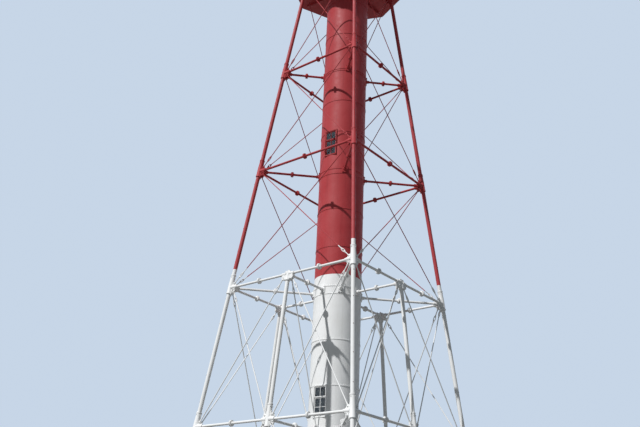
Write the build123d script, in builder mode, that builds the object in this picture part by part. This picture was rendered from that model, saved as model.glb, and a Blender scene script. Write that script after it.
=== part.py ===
"""Skeleton lighthouse: four battered pipe legs and four side posts, tied by rods,
around a riveted stair cylinder that carries an eight-sided gallery, watch room and lantern.

Millimetres, +Z up. The origin is on the tower's axis at ground level, the right leg
stands on +X, the back leg on +Y, the left leg on -X and the front leg on -Y.
"""

import os
from math import atan2, cos, degrees, radians, sin, sqrt

from build123d import *

os.makedirs("parts", exist_ok=True)

# Heights of the horizontal levels, up from the ground
level_1_height = 5900
level_2_height = 10960
level_3_height = 15836
level_4_height = 20507
deck_underside_height = 25480

# Pipes are drawn as bars of few sides
pipe_sides = 8

# Legs, four pipes that lean towards the tower's axis
leg_half_diagonal_at_ground = 5561
leg_batter = 0.146
leg_pipe_radius = 75
leg_azimuths = {"right_leg": 0, "back_leg": 90, "left_leg": 180, "front_leg": 270}

# Side posts, in the middle of each side, up to the second level
post_pipe_radius = 70

# Joint castings: a sleeve along the pipe with sockets for the struts and webs for the rods
sleeve_sides = 6
socket_sides = 6
leg_sleeve_radius = 96
post_sleeve_radius = 90
sleeve_below = 250
sleeve_above = 510
socket_radius = 60
leg_socket_reach = 330
post_socket_reach = 270
web_thickness = 16
web_half_height = 240
web_shoulder = 235
web_shoulder_half_height = 150
web_tip_half_height = 50
web_tip_margin = 3

# Caps of the side posts at the second level, fan shaped
cap_half_width = 124
cap_thickness = 104
cap_above = 105
cap_below = 260
cap_shoulder = 90
cap_foot_rise = 50

# Heads of the legs under the gallery
head_flange_width = 360
head_flange_thickness = 36
head_rib_drop = 260

# Struts, pipes with a bolted flange coupling in the middle
strut_sides = 6
strut_radius = 44
coupling_radius = 86
coupling_length = 74

# Tie rods: they cross on the two faces of the webs
lower_rod_width = 38
upper_rod_width = 32
rod_eye_out = 176
rod_eye_up = 136
rod_end_past_eye = 44

# Stair cylinder, rolled plates
cylinder_radius = 880
cylinder_wall = 12
paint_line = 11526
cylinder_segments = 8
segment_gap = 0.5
seat_width = 210
seat_height = 290
seat_thickness = 34
seat_socket_reach = 130

# Windows and entrance of the stair cylinder
window_azimuth = -130.5
window_width = 480
window_height = 1030
window_sills = (6400, 16540)
window_casing_border = 35
window_casing_face = 892
casing_inner_face = 780
sash_thickness = 36
sash_face = 884
fit_clearance = 0.4
door_azimuth = -135
door_width = 620
door_height = 1950
door_leaf_thickness = 44
door_casing_border = 60
door_casing_face = 912

# Footings
corner_pier_base = 1300
corner_pier_top = 1000
corner_pier_height = 450
post_pier_base = 900
post_pier_top = 700
cylinder_base_radius = 1260
cylinder_base_height = 250

# Shoes that hold the pipes on the piers
leg_shoe_plate = 640
post_shoe_plate = 480
shoe_plate_thickness = 40
shoe_sleeve_height = 640
shoe_rib_height = 260
shoe_rib_thickness = 24
shoe_rod_height = 330
shoe_web_tip = 60

# Gallery
deck_radius = 2657
deck_thickness = 60
joist_depth = 120
joist_width = 60
joist_end_radius = 2380
joist_taper_radius = 2060
joist_end_depth = 60
octagon = 8

# Railings
gallery_rail_inset = 60
gallery_rail_height = 1060
lantern_rail_inset = 50
lantern_rail_height = 850
rail_bar = 40
gallery_rail_bays = 2
lantern_rail_bays = 1

# Watch room
watch_apothem = 1330
watch_wall = 50
watch_height = 2000
watch_window_width = 420
watch_window_height = 760
watch_window_sill = 840
watch_window_panels = (1, 3, 5, 7)
watch_door_panel = 4
watch_door_width = 640
watch_door_height = 1750
watch_leaf_thickness = 40

# Lantern
lantern_deck_radius = 1880
lantern_deck_thickness = 50
lantern_apothem = 1020
parapet_wall = 60
parapet_height = 520
glazing_height = 1560
mullion_width = 56
pane_thickness = 12
roof_eave = 1290
roof_fascia = 70
roof_height = 820
roof_top_radius = 190

# Ventilator with its ball and lightning rod
vent_drum_radius = 165
vent_drum_height = 170
ball_radius = 185
ball_neck_radius = 85
ball_cap_height = 110
lightning_rod_width = 26
lightning_rod_height = 520


# Places that follow from the sizes above
side_factor = sqrt(1 + leg_batter**2 / 2)
leg_direction = Vector(-leg_batter, 0, 1).normalized()
side_normal = Vector(1, 1, leg_batter).normalized()
side_along = Vector(-1, 1, 0).normalized()
mid_side_out = Vector(1, 1, 0).normalized()
side_plane = Plane(
    origin=(leg_half_diagonal_at_ground / 2, leg_half_diagonal_at_ground / 2, 0),
    x_dir=side_along,
    z_dir=side_normal,
)
shoe_bottom = corner_pier_height
joist_underside = deck_underside_height - joist_depth
head_level = joist_underside - head_flange_thickness - head_rib_drop
deck_top = deck_underside_height + deck_thickness
watch_top = deck_top + watch_height
lantern_floor = watch_top + lantern_deck_thickness
glazing_foot = lantern_floor + parapet_height
glazing_top = glazing_foot + glazing_height
roof_top = glazing_top + roof_fascia + roof_height


def half_diagonal(z):
    """Distance of a leg's axis from the tower's axis at height z."""
    return leg_half_diagonal_at_ground - leg_batter * z


def leg_point(z):
    """The right leg's axis at height z."""
    return Vector(half_diagonal(z), 0, z)


def leg_plane(z):
    """Plane square to the right leg, with its x pointing at the tower's axis."""
    return Plane(origin=leg_point(z), x_dir=(-1, 0, -leg_batter), z_dir=leg_direction)


def side_half_length(z):
    """Half the distance between two neighbouring legs at height z."""
    return half_diagonal(z) / sqrt(2)


def side_point(along, z, out=0):
    """A point in the side plane, or proud of it, at height z."""
    return side_plane.from_local_coords((along, z * side_factor, out))


def post_plane(z):
    """Plane square to the post in the middle of the side between the right and back legs."""
    return Plane(origin=side_point(0, z), x_dir=side_along, z_dir=side_plane.y_dir)


def ring_of(piece, count=4):
    """The piece, repeated around the tower's axis."""
    with BuildPart() as ring:
        with PolarLocations(0, count):
            add(piece)
    return ring.part


def together(*pieces):
    """Pieces of one node that don't touch each other."""
    with BuildPart() as group:
        for piece in pieces:
            add(piece)
    return group.part


def save(part, name):
    """Label a finished node and write it."""
    part.label = name
    export_step(part, f"parts/{name}.step")


def prism(plane, radius, sides, length):
    """A bar of regular section that starts on the plane."""
    with BuildPart() as bar:
        with BuildSketch(plane):
            RegularPolygon(radius, sides)
        extrude(amount=length)
    return bar.part


# Footings
def square_pier(centre, base, top, height, turn):
    """A concrete pier with sloping sides."""
    with BuildPart() as pier:
        with BuildSketch(Plane(origin=centre)):
            Rectangle(base, base, rotation=turn)
        extrude(amount=height, taper=degrees(atan2((base - top) / 2, height)))
    return pier.part


def shoe(plane, centre, plate, sleeve_radius, turn, web_sides):
    """Cast shoe: base plate, leaning sleeve with four ribs, and the webs for the rods."""
    with BuildPart() as casting:
        with BuildSketch(Plane(origin=centre)):
            Rectangle(plate, plate, rotation=turn)
        extrude(amount=shoe_plate_thickness)
        with BuildSketch(plane):
            RegularPolygon(sleeve_radius, sleeve_sides)
        extrude(amount=shoe_sleeve_height)
        for direction in range(4):
            rib_turn = turn + 90 * direction
            rib_plane = Plane(origin=centre).rotated((90, 0, rib_turn))
            with BuildSketch(rib_plane):
                with BuildLine():
                    Polyline(
                        (0, shoe_plate_thickness),
                        (plate / 2 - shoe_plate_thickness, shoe_plate_thickness),
                        (sleeve_radius, shoe_rib_height),
                        (0, shoe_rib_height),
                        close=True,
                    )
                make_face()
            extrude(amount=shoe_rib_thickness / 2, both=True)
        for web_plane in web_sides:
            with BuildSketch(web_plane):
                with BuildLine():
                    Polyline(
                        (0, shoe_plate_thickness),
                        (web_shoulder, shoe_plate_thickness),
                        (web_shoulder, shoe_rod_height + shoe_web_tip),
                        (0, shoe_rod_height + web_half_height),
                        close=True,
                    )
                make_face()
            extrude(amount=web_thickness / 2, both=True)
        with BuildSketch(Plane(origin=centre)):
            Rectangle(2 * plate, 2 * plate)
        extrude(amount=-plate, mode=Mode.SUBTRACT)
    return casting.part


corner_pier = square_pier(
    (half_diagonal(corner_pier_height), 0, 0), corner_pier_base, corner_pier_top, corner_pier_height, 45
)
save(ring_of(corner_pier), "corner_footings")

post_foot = side_point(0, corner_pier_height)
post_pier = square_pier(
    (post_foot.X, post_foot.Y, 0), post_pier_base, post_pier_top, corner_pier_height, 45
)
save(ring_of(post_pier), "post_footings")

with BuildPart() as cylinder_footing:
    with BuildSketch():
        RegularPolygon(cylinder_base_radius, octagon)
    extrude(amount=cylinder_base_height)
save(cylinder_footing.part, "cylinder_footing")


# The right leg's two sides, each as the way along it and the way square to it
other_side_along = Vector(-1, -1, 0).normalized()
other_side_normal = Vector(1, -1, leg_batter).normalized()
right_leg_webs = (
    (side_along, side_normal),
    (other_side_along, -1 * other_side_normal),
)


def leg_web_planes(z):
    """Planes of the two webs of the right leg's casting at height z."""
    point = leg_point(z)
    return [Plane(origin=point, x_dir=along, z_dir=normal) for along, normal in right_leg_webs]


leg_shoe = shoe(
    leg_plane(shoe_bottom),
    leg_point(shoe_bottom),
    leg_shoe_plate,
    leg_sleeve_radius,
    45,
    leg_web_planes(shoe_bottom),
)
save(ring_of(leg_shoe), "leg_shoes")

post_web_planes = [
    Plane(origin=post_foot, x_dir=side_along, z_dir=side_normal),
    Plane(origin=post_foot, x_dir=-1 * side_along, z_dir=-1 * side_normal),
]
post_shoe = shoe(
    post_plane(corner_pier_height),
    post_foot,
    post_shoe_plate,
    post_sleeve_radius,
    45,
    post_web_planes,
)
save(ring_of(post_shoe), "post_shoes")


# Legs and side posts: one length of pipe from casting to casting
def leg_length(z_from, z_to):
    """Distance along the leg between two heights."""
    return (leg_point(z_to) - leg_point(z_from)).length


def leg_pipe(z_from, clear_from, z_to, clear_to):
    """The right leg's pipe between two castings, less what each casting takes up."""
    length = leg_length(z_from, z_to) - clear_from - clear_to
    return prism(leg_plane(z_from).offset(clear_from), leg_pipe_radius, pipe_sides, length)


def post_pipe(z_from, clear_from, z_to, clear_to):
    """A side post's pipe between two castings."""
    length = (side_point(0, z_to) - side_point(0, z_from)).length - clear_from - clear_to
    return prism(post_plane(z_from).offset(clear_from), post_pipe_radius, pipe_sides, length)


leg_levels = (level_1_height, level_2_height, level_3_height, level_4_height)
leg_pipes = [leg_pipe(shoe_bottom, shoe_sleeve_height, level_1_height, sleeve_below)]
for lower, upper in zip(leg_levels, leg_levels[1:]):
    leg_pipes.append(leg_pipe(lower, sleeve_above, upper, sleeve_below))
leg_pipes.append(leg_pipe(level_4_height, sleeve_above, head_level, sleeve_below))
right_leg = together(*leg_pipes)
for leg_name, azimuth in leg_azimuths.items():
    with BuildPart() as leg:
        add(right_leg, rotation=(0, 0, azimuth))
    save(leg.part, leg_name)

side_post = together(
    post_pipe(corner_pier_height, shoe_sleeve_height, level_1_height, sleeve_below),
    post_pipe(level_1_height, sleeve_above, level_2_height, cap_below),
)
save(ring_of(side_post), "side_posts")


# Joint castings
def sleeve(plane, radius, below, above):
    """A sleeve that reaches below and above the joint's plane."""
    return prism(plane.offset(-below), radius, sleeve_sides, below + above)


def flared_edge(reach, side):
    """Upper (side 1) or lower (side -1) edge of a web, from the pipe out to its tip on the socket."""
    return [
        (0, side * web_half_height),
        (web_shoulder, side * web_shoulder_half_height),
        (reach - web_tip_margin, side * web_tip_half_height),
    ]


def web(plane, upper_edge, lower_edge):
    """The web that carries the rods of one side, between its two edges."""
    with BuildPart() as plate:
        with BuildSketch(plane):
            with BuildLine():
                Polyline(*upper_edge, *reversed(lower_edge), close=True)
            make_face()
        extrude(amount=web_thickness / 2, both=True)
    return plate.part


def leg_joint(z):
    """Casting of the right leg at a level: sleeve, three sockets and two webs."""
    point = leg_point(z)
    with BuildPart() as casting:
        add(sleeve(leg_plane(z), leg_sleeve_radius, sleeve_below, sleeve_above))
        for direction in (side_along, other_side_along, Vector(-1, 0, 0)):
            with BuildSketch(Plane(origin=point, z_dir=direction)):
                RegularPolygon(socket_radius, socket_sides)
            extrude(amount=leg_socket_reach)
        for web_plane in leg_web_planes(z):
            add(web(web_plane, flared_edge(leg_socket_reach, 1), flared_edge(leg_socket_reach, -1)))
    return casting.part


for number, z in enumerate(leg_levels, start=1):
    save(ring_of(leg_joint(z)), f"leg_joints_level_{number}")

with BuildPart() as leg_head:
    add(sleeve(leg_plane(head_level), leg_sleeve_radius, sleeve_below, head_rib_drop))
    for web_plane in leg_web_planes(head_level):
        add(web(web_plane, flared_edge(leg_socket_reach, 1)[:2], flared_edge(leg_socket_reach, -1)[:2]))
    with BuildSketch(Plane(origin=leg_point(joist_underside))):
        Rectangle(head_flange_width, head_flange_width, rotation=45)
    extrude(amount=-head_flange_thickness)
    with BuildSketch(Plane(origin=leg_point(joist_underside))):
        Rectangle(2 * head_flange_width, 2 * head_flange_width)
    extrude(amount=head_flange_width, mode=Mode.SUBTRACT)
save(ring_of(leg_head.part), "leg_heads")


def post_joint_parts(z, upper_edge):
    """Sockets and webs of a side post's casting at height z; the webs end at the upper edge."""
    point = side_point(0, z)
    lower_edge = flared_edge(post_socket_reach, -1)
    with BuildPart() as fittings:
        for direction in (side_along, -1 * side_along, -1 * mid_side_out):
            with BuildSketch(Plane(origin=point, z_dir=direction)):
                RegularPolygon(socket_radius, socket_sides)
            extrude(amount=post_socket_reach)
        for turn in (1, -1):
            web_plane = Plane(origin=point, x_dir=turn * side_along, z_dir=turn * side_normal)
            add(web(web_plane, upper_edge, lower_edge))
    return fittings.part


with BuildPart() as post_joint:
    add(sleeve(post_plane(level_1_height), post_sleeve_radius, sleeve_below, sleeve_above))
    add(post_joint_parts(level_1_height, flared_edge(post_socket_reach, 1)))
save(ring_of(post_joint.part), "post_joints_level_1")

# No rods rise from the second level's posts, so their webs end level with the sockets
cap_plane = Plane(origin=side_point(0, level_2_height), x_dir=side_along, z_dir=side_normal)
cap_web_edge = [(0, web_tip_half_height), (post_socket_reach - web_tip_margin, web_tip_half_height)]
with BuildPart() as post_cap:
    add(sleeve(post_plane(level_2_height), post_sleeve_radius, cap_below, 0))
    with BuildSketch(cap_plane):
        with BuildLine():
            Polyline(
                (-cap_half_width, cap_above),
                (-cap_half_width, -cap_shoulder),
                (-post_sleeve_radius, -cap_below + cap_foot_rise),
                (post_sleeve_radius, -cap_below + cap_foot_rise),
                (cap_half_width, -cap_shoulder),
                (cap_half_width, cap_above),
                close=True,
            )
        make_face()
    extrude(amount=cap_thickness / 2, both=True)
    add(post_joint_parts(level_2_height, cap_web_edge))
save(ring_of(post_cap.part), "post_caps_level_2")


# Struts
def strut(start, direction, length):
    """A pipe strut with its bolted coupling in the middle."""
    plane = Plane(origin=start, z_dir=direction)
    with BuildPart() as member:
        add(prism(plane, strut_radius, strut_sides, length))
        with BuildSketch(plane.offset((length - coupling_length) / 2)):
            RegularPolygon(coupling_radius, strut_sides)
        extrude(amount=coupling_length)
    return member.part


def half_struts(z):
    """The two struts of one side that meet at its post."""
    length = side_half_length(z) - leg_socket_reach - post_socket_reach
    struts = []
    for direction in (side_along, -1 * side_along):
        start = side_point(0, z) + direction * post_socket_reach
        struts.append(strut(start, direction, length))
    return together(*struts)


def full_strut(z):
    """The strut of one side, from leg to leg."""
    start = leg_point(z) + side_along * leg_socket_reach
    return strut(start, side_along, 2 * (side_half_length(z) - leg_socket_reach))


seat_face = cylinder_radius + seat_socket_reach


def leg_radial_strut(z):
    """Strut from the right leg to its seat on the stair cylinder."""
    start = Vector(seat_face, 0, z)
    length = half_diagonal(z) - leg_socket_reach - seat_face
    return prism(Plane(origin=start, z_dir=(1, 0, 0)), strut_radius, strut_sides, length)


def post_radial_strut(z):
    """Strut from a side post to its seat on the stair cylinder."""
    length = side_half_length(z) - post_socket_reach - seat_face
    start = mid_side_out * seat_face + Vector(0, 0, z)
    return prism(Plane(origin=start, z_dir=mid_side_out), strut_radius, strut_sides, length)


save(ring_of(half_struts(level_1_height)), "side_struts_level_1")
save(ring_of(half_struts(level_2_height)), "side_struts_level_2")
save(ring_of(full_strut(level_3_height)), "side_struts_level_3")
save(ring_of(full_strut(level_4_height)), "side_struts_level_4")
for number, z in enumerate((level_1_height, level_2_height), start=1):
    both = together(leg_radial_strut(z), post_radial_strut(z))
    save(ring_of(both), f"radial_struts_level_{number}")
for number, z in enumerate((level_3_height, level_4_height), start=3):
    save(ring_of(leg_radial_strut(z)), f"radial_struts_level_{number}")


# Tie rods
def tie_rod(start, end, width, out_sign):
    """A rod on one face of the webs; start and end are (along, height) of its eyes."""
    out = out_sign * (web_thickness + width) / 2
    first = side_point(start[0], start[1], out)
    last = side_point(end[0], end[1], out)
    direction = (last - first).normalized()
    plane = Plane(origin=first, x_dir=side_normal, z_dir=direction)
    with BuildPart() as rod:
        with BuildSketch(plane.offset(-rod_end_past_eye)):
            Rectangle(width, width)
        extrude(amount=(last - first).length + 2 * rod_end_past_eye)
    return rod.part


def crossed_rods(left_low, left_high, right_low, right_high, width):
    """The two crossing rods of one panel, one on each face of the webs."""
    return [
        tie_rod(left_low, right_high, width, 1),
        tie_rod(right_low, left_high, width, -1),
    ]


def leg_eye(z, up):
    """Eye of a rod beside the leg on the positive side of a side plane."""
    height = z + up / side_factor
    return (side_half_length(height) - rod_eye_out, height)


def post_eye(z, up):
    """Eye of a rod beside a side post, towards the positive side."""
    return (rod_eye_out, z + up / side_factor)


def mirrored(eye):
    """The same eye on the other side of the panel's middle."""
    return (-eye[0], eye[1])


def half_panel_rods(z_low, up_low, z_high, width):
    """Crossed rods of the two half panels of one side, between legs and post."""
    post_low = post_eye(z_low, up_low)
    post_high = post_eye(z_high, -rod_eye_up)
    leg_low = leg_eye(z_low, up_low)
    leg_high = leg_eye(z_high, -rod_eye_up)
    rods = crossed_rods(post_low, post_high, leg_low, leg_high, width)
    rods += crossed_rods(
        mirrored(leg_low), mirrored(leg_high), mirrored(post_low), mirrored(post_high), width
    )
    return together(*rods)


def full_panel_rods(z_low, z_high, width):
    """Crossed rods of one side, from leg to leg."""
    low = leg_eye(z_low, rod_eye_up)
    high = leg_eye(z_high, -rod_eye_up)
    rods = crossed_rods(mirrored(low), mirrored(high), low, high, width)
    return together(*rods)


save(
    ring_of(half_panel_rods(corner_pier_height, shoe_rod_height, level_1_height, lower_rod_width)),
    "tie_rods_tier_1",
)
save(
    ring_of(half_panel_rods(level_1_height, rod_eye_up, level_2_height, lower_rod_width)),
    "tie_rods_tier_2",
)
upper_tiers = (
    (level_2_height, level_3_height),
    (level_3_height, level_4_height),
    (level_4_height, head_level),
)
for number, (z_low, z_high) in enumerate(upper_tiers, start=3):
    rods = full_panel_rods(z_low, z_high, upper_rod_width)
    save(ring_of(rods), f"tie_rods_tier_{number}")


# Stair cylinder
def azimuth_plane(azimuth, distance, z):
    """Upright plane that faces outwards, its x level and its y up, at a distance from the axis."""
    out = Vector(cos(radians(azimuth)), sin(radians(azimuth)), 0)
    along = Vector(-sin(radians(azimuth)), cos(radians(azimuth)), 0)
    return Plane(origin=out * distance + Vector(0, 0, z), x_dir=along, z_dir=out)


def cylinder_segment(z_from, z_to):
    """One upright strip of the plated cylinder, an eighth of the circle less its gap."""
    half_angle = 180 / cylinder_segments - degrees(segment_gap / 2 / cylinder_radius)
    inner_radius = cylinder_radius - cylinder_wall
    with BuildPart() as strip:
        with BuildSketch(Plane.XY.offset(z_from)):
            with BuildLine():
                outer = CenterArc((0, 0), cylinder_radius, -half_angle, 2 * half_angle)
                inner = CenterArc((0, 0), inner_radius, -half_angle, 2 * half_angle)
                Line(outer @ 0, inner @ 0)
                Line(outer @ 1, inner @ 1)
            make_face()
        extrude(amount=z_to - z_from)
    return strip.part


def cylinder_tube(z_from, z_to, openings):
    """The plated cylinder between two heights, with openings as (azimuth, width, sill, height)."""
    with BuildPart() as tube:
        with PolarLocations(0, cylinder_segments):
            add(cylinder_segment(z_from, z_to))
        for azimuth, width, sill, height in openings:
            with BuildSketch(azimuth_plane(azimuth, cylinder_radius / 2, sill + height / 2)):
                Rectangle(width, height)
            extrude(amount=cylinder_radius, mode=Mode.SUBTRACT)
    return tube.part


lower_openings = [
    (door_azimuth, door_width, cylinder_base_height, door_height),
    (window_azimuth, window_width, window_sills[0], window_height),
]
upper_openings = [(window_azimuth, window_width, window_sills[1], window_height)]
save(cylinder_tube(cylinder_base_height, paint_line, lower_openings), "lower_stair_cylinder")
save(cylinder_tube(paint_line, deck_underside_height, upper_openings), "upper_stair_cylinder")


def strut_seat(azimuth, z):
    """A seat on the stair cylinder, its back curved to the plates, with a strut's socket."""
    with BuildPart() as seat:
        with BuildSketch(azimuth_plane(azimuth, cylinder_radius + seat_thickness, z)):
            Rectangle(seat_width, seat_height)
        extrude(amount=-2 * seat_thickness)
        with BuildSketch(azimuth_plane(azimuth, cylinder_radius, z)):
            RegularPolygon(socket_radius, socket_sides)
        extrude(amount=seat_socket_reach)
        with BuildSketch(Plane.XY.offset(z - seat_height)):
            Circle(cylinder_radius)
        extrude(amount=2 * seat_height, mode=Mode.SUBTRACT)
    return seat.part


seats = [strut_seat(0, z) for z in leg_levels]
seats += [strut_seat(45, z) for z in (level_1_height, level_2_height)]
save(ring_of(together(*seats)), "strut_seats")


def casing(azimuth, width, height, sill, face, border, foot_border):
    """A flat casing on the round wall, open where the sash or the door stands."""
    with BuildPart() as frame:
        middle = sill + height / 2
        with BuildSketch(azimuth_plane(azimuth, face, middle)) as outline:
            with Locations((0, (border - foot_border) / 2)):
                Rectangle(width + 2 * border, height + border + foot_border)
            Rectangle(width, height, mode=Mode.SUBTRACT)
        extrude(amount=casing_inner_face - face)
        with BuildSketch(Plane.XY.offset(sill - 2 * border)):
            Circle(cylinder_radius + fit_clearance)
        extrude(amount=height + 4 * border, mode=Mode.SUBTRACT)
    return frame.part


def leaf(azimuth, width, height, sill, face, thickness):
    """A flat leaf that fills a casing, less its clearance all round."""
    with BuildPart() as slab:
        with BuildSketch(azimuth_plane(azimuth, face, sill + height / 2)):
            Rectangle(width - 2 * fit_clearance, height - 2 * fit_clearance)
        extrude(amount=-thickness)
    return slab.part


window_frames = [
    casing(
        window_azimuth,
        window_width,
        window_height,
        sill,
        window_casing_face,
        window_casing_border,
        window_casing_border,
    )
    for sill in window_sills
]
save(together(*window_frames), "window_frames")
window_sashes = [
    leaf(window_azimuth, window_width, window_height, sill, sash_face, sash_thickness)
    for sill in window_sills
]
save(together(*window_sashes), "window_sashes")
door_frame = casing(
    door_azimuth, door_width, door_height, cylinder_base_height, door_casing_face, door_casing_border, 0
)
save(door_frame, "entrance_frame")
entrance_door = leaf(
    door_azimuth, door_width, door_height, cylinder_base_height, sash_face, door_leaf_thickness
)
save(entrance_door, "entrance_door")


# Gallery
def octagon_slab(radius, z, thickness):
    """An eight-sided plate with its corners over the legs and posts."""
    with BuildPart() as slab:
        with BuildSketch(Plane.XY.offset(z)):
            RegularPolygon(radius, octagon)
        extrude(amount=thickness)
    return slab.part


save(octagon_slab(deck_radius, deck_underside_height, deck_thickness), "gallery_deck")

with BuildPart() as joist:
    with BuildSketch(Plane.XZ):
        with BuildLine():
            Polyline(
                (cylinder_radius + segment_gap, deck_underside_height),
                (cylinder_radius + segment_gap, joist_underside),
                (joist_taper_radius, joist_underside),
                (joist_end_radius, deck_underside_height - joist_end_depth),
                (joist_end_radius, deck_underside_height),
                close=True,
            )
        make_face()
    extrude(amount=joist_width / 2, both=True)
save(ring_of(joist.part, octagon), "gallery_joists")


def railing(radius, z, height, bays):
    """Eight railing panels, each with its end posts, two rails and the posts between."""
    apothem = radius * cos(radians(180 / octagon))
    width = 2 * radius * sin(radians(180 / octagon)) - rail_bar
    bay = (width - rail_bar) / bays
    lower_gap = height / 2 - rail_bar
    with BuildPart() as panel:
        with BuildSketch(azimuth_plane(180 / octagon, apothem, z + height / 2)):
            Rectangle(width, height)
            with Locations((0, height / 4 - rail_bar / 2), (0, -height / 4 - rail_bar / 2)):
                with GridLocations(bay, 0, bays, 1):
                    Rectangle(bay - rail_bar, lower_gap, mode=Mode.SUBTRACT)
        extrude(amount=rail_bar / 2, both=True)
    return ring_of(panel.part, octagon)


gallery_rail_radius = deck_radius - gallery_rail_inset
save(railing(gallery_rail_radius, deck_top, gallery_rail_height, gallery_rail_bays), "gallery_railing")


# Watch room and lantern, eight flat panels each
def panel_azimuth(number):
    """Which way a numbered panel of an eight-sided room faces."""
    return (360 * number + 180) / octagon


def octagon_panel(apothem, wall, z, height, number, openings=()):
    """One mitred wall panel of an eight-sided room; openings are (width, sill, height)."""
    half_angle = radians(180 / octagon)
    outer_half = apothem * sin(half_angle) / cos(half_angle) - segment_gap
    inner_half = (apothem - wall) * sin(half_angle) / cos(half_angle) - segment_gap
    azimuth = panel_azimuth(number)
    floor_plane = Plane(origin=(0, 0, z)).rotated((0, 0, azimuth))
    with BuildPart() as panel:
        with BuildSketch(floor_plane):
            with BuildLine():
                Polyline(
                    (apothem, -outer_half),
                    (apothem, outer_half),
                    (apothem - wall, inner_half),
                    (apothem - wall, -inner_half),
                    close=True,
                )
            make_face()
        extrude(amount=height)
        for width, sill, opening_height in openings:
            middle = z + sill + opening_height / 2
            with BuildSketch(azimuth_plane(azimuth, apothem - 2 * wall, middle)):
                Rectangle(width, opening_height)
            extrude(amount=4 * wall, mode=Mode.SUBTRACT)
    return panel.part


watch_openings = {number: (watch_window_width, watch_window_sill, watch_window_height)
                  for number in watch_window_panels}
watch_openings[watch_door_panel] = (watch_door_width, 0, watch_door_height)
watch_panels = []
for number in range(octagon):
    openings = [watch_openings[number]] if number in watch_openings else []
    watch_panels.append(
        octagon_panel(watch_apothem, watch_wall, deck_top, watch_height, number, openings)
    )
save(together(*watch_panels), "watch_room_walls")

watch_sashes = []
for number in watch_window_panels:
    watch_sashes.append(
        leaf(
            panel_azimuth(number),
            watch_window_width,
            watch_window_height,
            deck_top + watch_window_sill,
            watch_apothem - watch_wall / 4,
            watch_wall / 2,
        )
    )
save(together(*watch_sashes), "watch_room_windows")
watch_door = leaf(
    panel_azimuth(watch_door_panel),
    watch_door_width,
    watch_door_height,
    deck_top,
    watch_apothem,
    watch_leaf_thickness,
)
save(watch_door, "watch_room_door")

save(octagon_slab(lantern_deck_radius, watch_top, lantern_deck_thickness), "lantern_deck")
lantern_rail_radius = lantern_deck_radius - lantern_rail_inset
save(
    railing(lantern_rail_radius, lantern_floor, lantern_rail_height, lantern_rail_bays),
    "lantern_railing",
)
parapet = [
    octagon_panel(lantern_apothem, parapet_wall, lantern_floor, parapet_height, number)
    for number in range(octagon)
]
save(together(*parapet), "lantern_parapet")

lantern_corner = (lantern_apothem - parapet_wall / 2) / cos(radians(180 / octagon))
with BuildPart() as mullion:
    with BuildSketch(Plane.XY.offset(glazing_foot)):
        with Locations((lantern_corner, 0)):
            Rectangle(mullion_width, mullion_width)
    extrude(amount=glazing_height)
save(ring_of(mullion.part, octagon), "lantern_mullions")

pane_width = 2 * lantern_corner * sin(radians(180 / octagon)) - mullion_width - 2 * pane_thickness
with BuildPart() as pane:
    pane_face = lantern_apothem - parapet_wall / 2 - pane_thickness / 2
    with BuildSketch(azimuth_plane(180 / octagon, pane_face, glazing_foot + glazing_height / 2)):
        Rectangle(pane_width, glazing_height)
    extrude(amount=pane_thickness)
save(ring_of(pane.part, octagon), "lantern_panes")

with BuildPart() as lantern_roof:
    with BuildSketch(Plane.XY.offset(glazing_top)):
        RegularPolygon(roof_eave, octagon)
    extrude(amount=roof_fascia)
    with BuildSketch(Plane.XY.offset(glazing_top + roof_fascia)):
        RegularPolygon(roof_eave, octagon)
    roof_run = (roof_eave - roof_top_radius) * cos(radians(180 / octagon))
    extrude(amount=roof_height, taper=degrees(atan2(roof_run, roof_height)))
save(lantern_roof.part, "lantern_roof")

ball_middle = roof_top + vent_drum_height + ball_radius
ball_cap_run = (ball_radius - ball_neck_radius) * cos(radians(180 / octagon))
with BuildPart() as ball:
    with BuildSketch(Plane.XY.offset(ball_middle)):
        RegularPolygon(ball_radius, octagon)
    extrude(amount=ball_radius - ball_cap_height)
    with BuildSketch(Plane.XY.offset(ball_middle + ball_radius - ball_cap_height)):
        RegularPolygon(ball_radius, octagon)
    extrude(amount=ball_cap_height, taper=degrees(atan2(ball_cap_run, ball_cap_height)))
    mirror(about=Plane.XY.offset(ball_middle))
with BuildPart() as ventilator:
    with BuildSketch(Plane.XY.offset(roof_top)):
        RegularPolygon(vent_drum_radius, octagon)
    extrude(amount=vent_drum_height)
    add(ball.part)
    with BuildSketch(Plane.XY.offset(ball_middle + ball_radius)):
        Rectangle(lightning_rod_width, lightning_rod_width)
    extrude(amount=lightning_rod_height)
save(ventilator.part, "ventilator")
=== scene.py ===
"""Looks of the skeleton lighthouse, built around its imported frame.

Metres, +Z up. The origin is on the tower's axis at ground level. The right leg stands on +X,
the back leg on +Y, the left leg on -X and the front leg on -Y. What stands four times around
the tower is built once, for the right leg or for the side between the right and back legs.
"""

from math import asin, cos, degrees, pi, radians, sin, sqrt, tan

import bpy
import numpy as np
from mathutils import Matrix, Vector


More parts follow.
